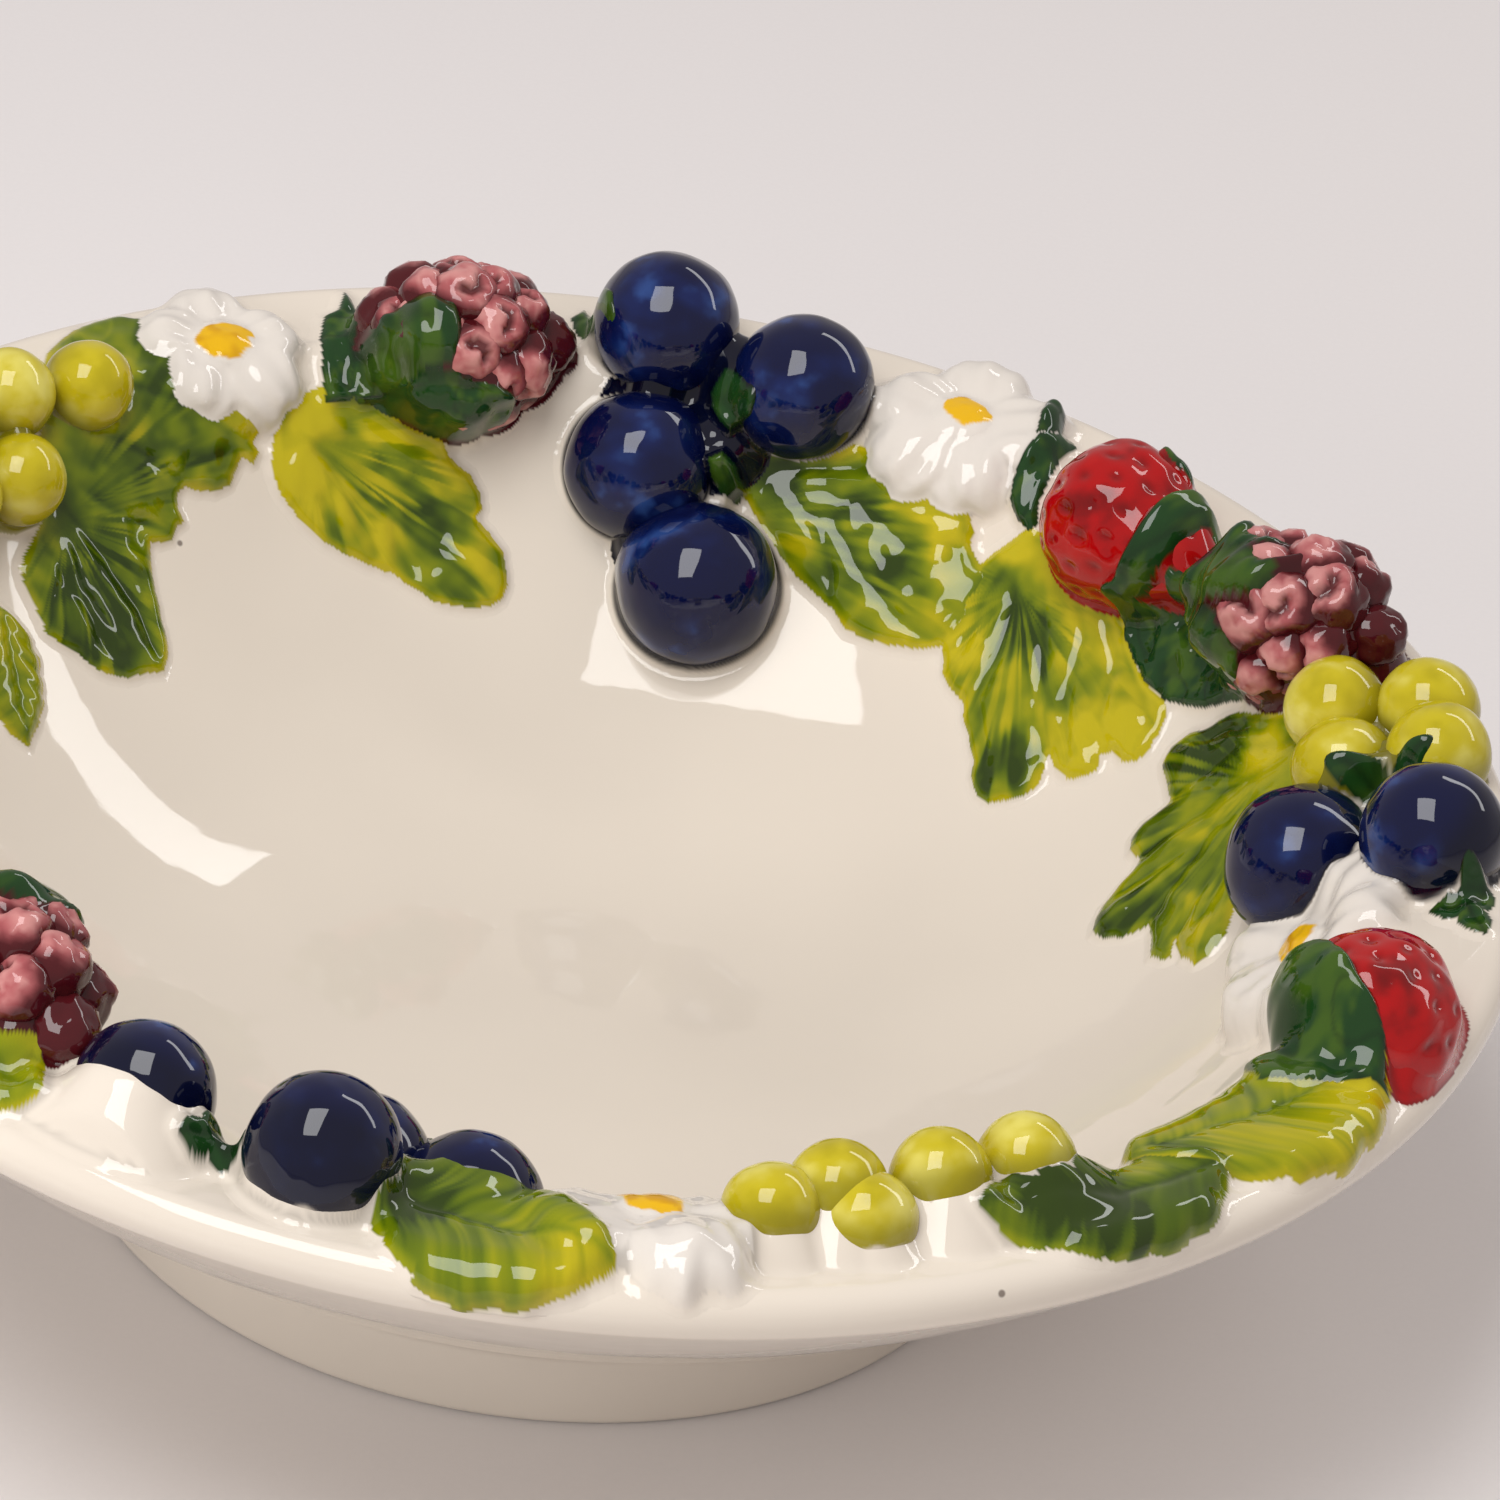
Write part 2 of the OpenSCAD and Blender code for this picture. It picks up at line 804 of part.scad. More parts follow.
module leaf_front_serrated() {
    rim_leaf(leaf_front_serrated_row, leaf_w, "olivedrab") {
        berries_plan(blueberry_front_shares, blueberry_d);
        petals_plan(blossom_front_seat);
    }
}

module blueberries_front() {
    blueberries(blueberry_front_shares);
}

module blueberries_front_calyxes() {
    calyxes(calyx_front_shares, blueberry_front_shares);
}

module bramble_left() {
    bramble(bramble_left_seat);
}

module bramble_left_sepals() {
    bramble_sepals(bramble_left_seat);
}

module leaf_front_left() {
    rim_leaf(leaf_front_left_row, leaf_w, "olivedrab") {
        bramble_plan(bramble_left_seat);
        berries_plan(blueberry_front_shares, blueberry_d);
    }
}

module strawberry_left() {
    strawberry(strawberry_left_seat);
}

module strawberry_left_sepals() {
    strawberry_sepals(strawberry_left_seat);
}

module blossom_left_petals() {
    petals(blossom_left_seat);
}

module blossom_left_middle() {
    middle(blossom_left_seat);
}

module leaf_left_long() {
    wall_leaf([leaf_left_long_row], leaf_w, "yellowgreen") {
        strawberry_plan(strawberry_left_seat);
        petals_plan(blossom_left_seat);
        berries_plan(blueberry_left_shares, blueberry_d);
    }
}

module blueberries_left() {
    blueberries(blueberry_left_shares);
}

module blueberries_left_calyxes() {
    calyxes(calyx_left_shares, blueberry_left_shares);
}

bowl_body();
foot_ring();
grapes_left();
vine_leaf_left();
small_leaf_left();
blossom_back_left_petals();
blossom_back_left_middle();
bramble_back();
bramble_back_sepals();
leaf_back_left();
blueberries_back();
blueberries_back_calyxes();
leaf_back_right();
blossom_back_right_petals();
blossom_back_right_middle();
strawberry_back();
strawberry_back_sepals();
lobed_leaf_back();
bramble_right();
bramble_right_sepals();
grapes_right();
vine_leaf_right();
blueberries_right();
blueberries_right_calyxes();
blossom_right_petals();
blossom_right_middle();
strawberry_right();
strawberry_right_sepals();
leaf_front_right();
leaf_front_dark();
grapes_front();
blossom_front_petals();
blossom_front_middle();
leaf_front_serrated();
blueberries_front();
blueberries_front_calyxes();
bramble_left();
bramble_left_sepals();
leaf_front_left();
strawberry_left();
strawberry_left_sepals();
blossom_left_petals();
blossom_left_middle();
leaf_left_long();
blueberries_left();
blueberries_left_calyxes();
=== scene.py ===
# %% [markdown]
# # A glazed earthenware fruit bowl
# The bowl is ivory earthenware under a thick clear glaze. Round its rim lies a garland of fruit, leaves
# and blossoms, pressed from clay, painted with underglaze colours and glazed over in one. The script
# finds the wall first, presses and paints the sprigs on it, lets the glaze flow into the creases, cuts
# the pieces apart and spins the bowl and its foot. Then it makes the glazes and lights the bowl.

import json
import math

import bpy
import numpy as np
from mathutils import Matrix

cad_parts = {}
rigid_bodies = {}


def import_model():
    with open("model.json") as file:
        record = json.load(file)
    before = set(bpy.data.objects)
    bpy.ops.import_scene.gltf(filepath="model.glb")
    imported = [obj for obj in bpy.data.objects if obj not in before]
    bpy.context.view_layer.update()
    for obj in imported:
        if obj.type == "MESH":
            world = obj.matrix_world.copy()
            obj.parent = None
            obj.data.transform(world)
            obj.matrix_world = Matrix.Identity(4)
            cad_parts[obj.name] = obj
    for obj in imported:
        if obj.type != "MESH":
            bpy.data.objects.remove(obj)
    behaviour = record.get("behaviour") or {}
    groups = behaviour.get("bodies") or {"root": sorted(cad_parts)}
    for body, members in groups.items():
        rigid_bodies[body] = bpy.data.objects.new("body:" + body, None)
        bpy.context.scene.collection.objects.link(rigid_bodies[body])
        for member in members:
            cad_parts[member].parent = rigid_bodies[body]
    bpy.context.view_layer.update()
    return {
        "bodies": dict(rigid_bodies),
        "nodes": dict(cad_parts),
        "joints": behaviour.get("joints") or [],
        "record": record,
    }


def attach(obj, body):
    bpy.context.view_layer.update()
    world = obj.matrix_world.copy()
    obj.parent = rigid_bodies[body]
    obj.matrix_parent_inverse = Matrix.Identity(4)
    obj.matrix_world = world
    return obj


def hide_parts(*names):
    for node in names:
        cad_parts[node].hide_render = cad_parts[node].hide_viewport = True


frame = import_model()
bpy.ops.object.select_all(action="DESELECT")
MM = 0.001

# %% [markdown]
# ## The wall that everything lies on
# The upper side of the bowl is a chain of arcs: the hollow basin, a small roll, a nearly level shelf and
# the rounded lip. A table of points along it, with the direction that points out of the clay, lets any
# sprig be placed by its azimuth and its distance along the wall.

# %% The section of the wall in mm
rim_r, rim_h, lip_r = 150.0, 78.0, 4.0
shelf_w, shelf_r, shelf_drop = 13.4, 8.0, 2.5
floor_r, floor_h = 35.0, 18.5
lip_c = np.array([rim_r - lip_r, rim_h - lip_r])
roll_c = np.array([lip_c[0] - shelf_w, rim_h - shelf_drop - shelf_r])
run, rise = roll_c - np.array([floor_r, floor_h])
basin_r = (run**2 + rise**2 - shelf_r**2) / (2 * (rise + shelf_r))
basin_c = np.array([floor_r, floor_h + basin_r])
to_roll = (roll_c - basin_c) / np.linalg.norm(roll_c - basin_c)
basin_end = math.atan2(to_roll[0], -to_roll[1])
shelf_line = lip_c - roll_c
shelf_slope = math.atan2(shelf_line[1], shelf_line[0])
shelf_slope -= math.asin((shelf_r - lip_r) / np.linalg.norm(shelf_line))


def arc(centre, radius, start, end, steps, hollow=False):
    """Points and outward normals along an arc of the section."""
    a = np.linspace(start, end, steps)
    d = np.stack([np.cos(a), np.sin(a)], 1)
    return centre + radius * d, -d if hollow else d


pieces = [
    arc(basin_c, basin_r, -math.pi / 2, basin_end - math.pi / 2, 240, hollow=True),
    arc(roll_c, shelf_r, basin_end + math.pi / 2, shelf_slope + math.pi / 2, 60),
    arc(lip_c, lip_r, shelf_slope + math.pi / 2, -math.pi / 2, 80),
]
line_p = np.concatenate([p for p, n in pieces])
line_n = np.concatenate([n for p, n in pieces])
line_s = np.concatenate([[0], np.cumsum(np.linalg.norm(np.diff(line_p, axis=0), axis=1))])
keep = np.concatenate([[True], np.diff(line_s) > 1e-9])
line_p, line_n, line_s = line_p[keep], line_n[keep], line_s[keep]
lip_top = int(np.argmax(line_p[:, 1]))


def wall_s(share):
    """Distance along the wall of a share of the rim's radius."""
    return np.interp(share * rim_r, line_p[: lip_top + 1, 0], line_s[: lip_top + 1])


print("wall from the floor to under the lip:", round(line_s[-1], 1), "mm")

# %% [markdown]
# ## A sheet of clay round the rim
# The garland is worked out on one sheet that is unrolled from the wall: columns go round the bowl, rows
# go from the basin over the shelf to the lip. The sheet keeps the height of the relief above the wall,
# which piece owns each point, and the colour that is painted there.

# %% The points of the sheet
COLUMNS = 2400
STEP = 0.36
s_low, s_high = wall_s(0.56), line_s[lip_top] + 0.5 * math.pi * lip_r
row_s = np.arange(s_low, s_high, STEP)
ROWS = len(row_s)
wall_r = np.interp(row_s, line_s, line_p[:, 0])
wall_z = np.interp(row_s, line_s, line_p[:, 1])
wall_nr = np.interp(row_s, line_s, line_n[:, 0])
wall_nz = np.interp(row_s, line_s, line_n[:, 1])
azimuth = np.arange(COLUMNS) * 360.0 / COLUMNS
cos_a, sin_a = np.cos(np.radians(azimuth))[:, None], np.sin(np.radians(azimuth))[:, None]


def lifted(height):
    """Places in mm of the sheet's points at these heights above the wall."""
    r = wall_r + height * wall_nr
    return np.stack([r * cos_a, r * sin_a, wall_z + height * wall_nz], -1)


wall_xyz = lifted(np.zeros((COLUMNS, ROWS)))
wall_n = np.stack([wall_nr * cos_a, wall_nr * sin_a, np.broadcast_to(wall_nz, (COLUMNS, ROWS))], -1)
print("sheet of", COLUMNS, "by", ROWS, "points")

# %% [markdown]
# ## Unevenness of handwork
# Clay that is pressed and painted by hand is never even. Noise that is read at real places in millimetres
# gives lumps and brush marks of a known size. Blender's noise textures can only colour a surface or move
# its points afterwards; here the same noise has to steer shape and paint together, so a small one is
# worked out in numpy.

# %% Noise, soft steps and colours


def lattice(p, seed):
    """Smooth noise from 0 to 1 at points p, by a lattice of random values one unit apart."""
    rng = np.random.default_rng(seed)
    table = rng.random(4096)
    cell = np.floor(p).astype(np.int64)
    f = p - cell
    f = f * f * (3 - 2 * f)
    cx, cy, cz = np.moveaxis(cell, -1, 0)
    out = np.zeros(p.shape[:-1])
    for i in (0, 1):
        for j in (0, 1):
            for k in (0, 1):
                key = (cx + i) * 73856093 ^ (cy + j) * 19349663 ^ (cz + k) * 83492791
                w = (f[..., 0] if i else 1 - f[..., 0]) * (f[..., 1] if j else 1 - f[..., 1])
                out += w * (f[..., 2] if k else 1 - f[..., 2]) * table[key % 4096]
    return out


def clay_noise(p, size, seed, octaves=3):
    """Noise from 0 to 1 whose largest lumps are size mm across."""
    total, share = 0.0, 0.0
    for o in range(octaves):
        total = total + lattice(p * (2**o / size), seed + o) / 2**o
        share += 1 / 2**o
    return total / share


def smooth(x, low, high):
    """0 below low, 1 above high, and a soft step between."""
    t = np.clip((x - low) / (high - low), 0, 1)
    return t * t * (3 - 2 * t)


def srgb(text):
    """Linear colour of an sRGB hex value."""
    c = np.array([int(text[i : i + 2], 16) for i in (0, 2, 4)]) / 255
    return np.where(c <= 0.04045, c / 12.92, ((c + 0.055) / 1.055) ** 2.4)

# %% [markdown]
# ## Working on a part of the sheet
# For each point the sheet keeps the height of the relief, the number of the piece that owns it and its
# paint. A sprig is worked out in a window round its place and laid on the sheet. Where two overlap, the
# higher one shows, as one sprig is pressed over another. Sculpting by hand would do the same, but
# couldn't be repeated or measured.

# %% Windows on the sheet
IVORY = srgb("E0D6C8")
height = np.zeros((COLUMNS, ROWS))
owner = np.zeros((COLUMNS, ROWS), dtype=np.int32)
paint = np.broadcast_to(IVORY, (COLUMNS, ROWS, 3)).copy()
names = ["wall"]
# a window is wide enough down to this radius
narrow_r = 0.62 * rim_r


class Window:
    """Part of the sheet round an azimuth and a share of the rim's radius, with local places in mm."""

    def __init__(self, az, share, reach):
        self.az, self.s = az, wall_s(share)
        column = 360 / COLUMNS
        half = int(math.ceil(math.degrees(reach / narrow_r) / column))
        mid = int(round(az / column))
        self.cols = np.arange(mid - half, mid + half + 1) % COLUMNS
        low = np.searchsorted(row_s, self.s - reach)
        high = np.searchsorted(row_s, self.s + reach)
        self.rows = np.arange(low, min(high, ROWS))
        self.at = np.ix_(self.cols, self.rows)
        turn = (azimuth[self.cols] - az + 180) % 360 - 180
        # x runs clockwise seen from above, y runs outwards up the wall
        self.x = -np.radians(turn)[:, None] * wall_r[self.rows][None, :]
        self.y = np.broadcast_to(row_s[self.rows][None, :] - self.s, self.x.shape)
        self.p = wall_xyz[self.at]
        self.n = wall_n[self.at]
        self.h = height[self.at]

    def lay(self, h, pid, colour, mask=None):
        """Keeps what is higher and paints it."""
        win = h > self.h + 1e-6
        if mask is not None:
            win &= mask
        hs, ow, pa = height[self.at], owner[self.at], paint[self.at]
        hs[win], ow[win] = h[win], pid
        pa[win] = colour[win] if np.ndim(colour) == 3 else colour
        height[self.at], owner[self.at], paint[self.at] = hs, ow, pa
        self.h = hs


def piece_id(name):
    """Number of a piece, by its name."""
    if name not in names:
        names.append(name)
    return names.index(name)


def mix(a, b, t):
    """Colours from a to b by t."""
    t = np.asarray(t)[..., None]
    return np.asarray(a) * (1 - t) + np.asarray(b) * t


def local_xy(w, az, share):
    """Place of another point of the wall in a window's local mm."""
    turn = (az - w.az + 180) % 360 - 180
    return -math.radians(turn) * share * rim_r, wall_s(share) - w.s


def middle_of(edge, near):
    """Mean azimuth and share of an outline that lies round an azimuth near this one."""
    turn = sum((az - near + 180) % 360 - 180 for az, share in edge) / len(edge)
    return turn + near, sum(share for az, share in edge) / len(edge)


def to_line(w, line):
    """Distance of a window's points to a line of (azimuth, share) points."""
    pts = [local_xy(w, *p) for p in line]
    best = np.full(w.x.shape, 1e9)
    for (ax, ay), (bx, by) in zip(pts, pts[1:]):
        dx, dy = bx - ax, by - ay
        t = np.clip(((w.x - ax) * dx + (w.y - ay) * dy) / max(dx * dx + dy * dy, 1e-9), 0, 1)
        best = np.minimum(best, np.hypot(w.x - ax - t * dx, w.y - ay - t * dy))
    return best


def depth_inside(w, edge):
    """Distance to a closed outline, above zero inside and below zero outside."""
    pts = [local_xy(w, *p) for p in edge]
    inside = np.zeros(w.x.shape, dtype=bool)
    for (ax, ay), (bx, by) in zip(pts, pts[1:] + pts[:1]):
        crosses = (ay > w.y) != (by > w.y)
        inside ^= crosses & (w.x < (bx - ax) * (w.y - ay) / (by - ay + 1e-12) + ax)
    return np.where(inside, 1, -1) * to_line(w, list(edge) + [edge[0]])

# %% [markdown]
# ## Leaves
# A leaf is a thin pad of clay with a toothed edge. Its blade swells between the side veins, and the
# midrib and veins are grooves that the glaze fills. The painter pulls a loaded brush from the midrib
# outwards, so two greens lie in strokes beside each other and the edges keep a yellow rim.

# %% The brushed greens
LEAF_TONES = [srgb("2A3C06"), srgb("445806"), srgb("647404"), srgb("848A04"), srgb("A49C06"), srgb("BAAC10")]
DEEP_GREEN = srgb("183C16")


def leaf_colour(tone):
    """Colour of the brushed green from dark (-1) to yellow (1)."""
    place = np.clip((tone + 1) * 2.5, 0, 4.999)
    low = np.floor(place).astype(int)
    part = (place - low)[..., None]
    ramp = np.array(LEAF_TONES)
    return ramp[low] * (1 - part) + ramp[low + 1] * part


def brush(w, tone, strokes, cloud, inside, groove, dabs):
    """Paint of a leaf: strokes, broad dabs, painted shade in the grooves and a yellow rim."""
    tone = tone + 0.75 * (strokes - 0.5) + 1.1 * (cloud - 0.5)
    for az, share, radius, kind in dabs:
        cx, cy = local_xy(w, az, share)
        reach = np.hypot(w.x - cx, w.y - cy) / radius + 1.1 * (strokes - 0.5)
        tone = tone + 0.62 * kind * (1 - smooth(reach, 0.45, 1.25))
    # painted shade: darker green in the vein grooves
    tone = tone - 0.35 * groove
    tone = tone + 0.5 * (1 - smooth(inside, 0.2, 1.5))
    return leaf_colour(tone)

# %% [markdown]
# ## Leaves with lobes
# The leaves that hang into the basin are thin pads with lobes. Each is drawn by its outline, its veins
# and its dabs of lighter and darker paint, as azimuths and shares of the rim's radius. Cutting a flat pad
# and bending it with a modifier would lose the fit to the curved wall, so the pad is worked out on the
# wall itself.

# %% A leaf from its outline


def rounded_edge(inside, width):
    """Height, as a share, of a pad whose edge is rounded over this width."""
    return np.sqrt(np.clip(1 - (1 - np.clip(inside / width, 0, 1)) ** 2, 0, 1))


def traced_leaf(name, base, bias, thick, edge, veins, dabs, seed):
    """A leaf from its outline, its veins and the dabs of lighter (1) and darker (-1) paint."""
    w = Window(*middle_of(edge, base[0]), 36)
    bx, by = local_xy(w, *base)
    wob = clay_noise(w.p, 3.2, seed + 40, 2) - 0.5
    inside = depth_inside(w, edge) + 0.9 * wob
    dv = np.min([to_line(w, v) for v in veins], axis=0)
    groove = np.exp(-((dv / 0.9) ** 2)) * smooth(inside, 0.3, 1.6)
    groove = groove * smooth(np.hypot(w.x - bx, w.y - by), 2, 12)
    # brush strokes fan out from the stalk
    away = np.hypot(w.x - bx, w.y - by) + 9
    fan = np.arctan2(w.x - bx, w.y - by + 9 * (1 if by > 0 else -1))
    fan_p = np.stack([fan * 13, away / 15, np.full_like(away, seed * 1.7)], -1)
    strokes = 0.6 * lattice(fan_p, seed) + 0.4 * lattice(fan_p * [2.6, 1.6, 1], seed + 1)
    pleat = lattice(fan_p * [0.34, 0.8, 1], seed + 2) - 0.5
    cloud = smooth(clay_noise(w.p, 8, seed + 3, 3), 0.25, 0.75)
    strokes = 0.5 * strokes + 0.5 * smooth(strokes, 0.4, 0.6)
    open_fan = smooth(away, 15, 32)
    strokes, pleat = 0.5 + (strokes - 0.5) * open_fan, pleat * open_fan
    rim = rounded_edge(inside, 2.0)
    h = thick * rim * (0.85 + 0.35 * smooth(inside, 1, 7))
    h = h + (1.3 * pleat + 0.8 * (cloud - 0.5)) * smooth(inside, 0.5, 4)
    h = h - 0.75 * np.exp(-((dv / 1.1) ** 2)) * smooth(inside, 0.4, 2) * (0.2 + 0.6 * open_fan)
    h = h + 0.08 * (strokes - 0.5) * rim
    colour = brush(w, bias, strokes, cloud, inside, groove, dabs)
    w.lay(np.where(inside > 0, np.maximum(h, 0.15), -1), piece_id(name), colour)

# %% [markdown]
# ## Leaves with one blade
# A single blade is given by its base, its tip and its width. Its half width follows a sine pushed towards
# the base, teeth are cut along it, and the side veins leave the midrib at a slant.

# %% A leaf from its length and width


def leaf(name, base, tip, width, bias, thick=2.3, notch=0.12, seed=1, fullness=0.8, bend=0.0, dabs=()):
    """One blade with side veins, from base to tip, each an azimuth and a share of the rim's radius."""
    teeth = 6
    turn = (tip[0] - base[0] + 180) % 360 - 180
    w = Window(base[0] + turn / 2, (base[1] + tip[1]) / 2, 34)
    bx, by = local_xy(w, *base)
    tx, ty = local_xy(w, *tip)
    length = math.hypot(tx - bx, ty - by)
    ux, uy = (tx - bx) / length, (ty - by) / length
    wob = clay_noise(w.p, 5, seed + 50, 2) - 0.5
    along = ((w.x - bx) * ux + (w.y - by) * uy) / length
    across = -(w.x - bx) * uy + (w.y - by) * ux + 1.6 * wob
    across = across - bend * length * np.clip(along, 0, 1) * (1 - np.clip(along, 0, 1))
    t = np.clip(along, 0.0005, 0.9995)
    outline = np.power(np.sin(np.pi * np.power(t, fullness)), 0.72)
    tooth = np.abs((t * teeth + 0.15 * np.sign(across)) % 1 - 0.25)
    half = width / 2 * outline * (1 - notch * smooth(tooth, 0, 0.75) * smooth(t, 0.05, 0.2))
    inside = np.where((along > 0) & (along < 1), half - np.abs(across), -1)
    rim = 1 - (1 - np.clip(inside / 3.0, 0, 1)) ** 2
    q = along * length - 0.75 * np.abs(across)
    gap = length / (teeth + 0.5)
    vein = np.abs((q / gap + 0.5 * (across > 0)) % 1 - 0.5) * gap
    crown = 1 - np.clip(np.abs(across) / (width / 2), 0, 1) ** 2
    stroke_p = np.stack([q / 1.5, np.abs(across) / 9 + 7 * (across > 0), np.full_like(q, seed * 3.7)], -1)
    strokes = lattice(stroke_p, seed) * 0.6 + lattice(stroke_p * [2.3, 1.3, 1], seed + 3) * 0.4
    cloud = clay_noise(w.p, 10, seed + 20, 2)
    creases = np.exp(-((vein / 0.7) ** 2)) * smooth(np.abs(across), 0.3, 1.5)
    h = thick * rim * (0.75 + 0.4 * crown)
    h = h - 0.8 * np.exp(-((across / 0.9) ** 2)) * rim * smooth(1 - t, 0.02, 0.2)
    h = h - 0.5 * creases * rim + (0.25 * (strokes - 0.5) + 1.2 * (cloud - 0.5)) * rim
    groove = np.maximum(0.6 * creases, np.exp(-((across / 0.8) ** 2)))
    colour = brush(w, bias, strokes, cloud, inside, groove * smooth(inside, 0.5, 2.5), dabs)
    h = h + 0.6 * np.maximum(w.h, 0)
    w.lay(np.where(inside > 0, np.maximum(h, 0.1), -1), piece_id(name), colour)

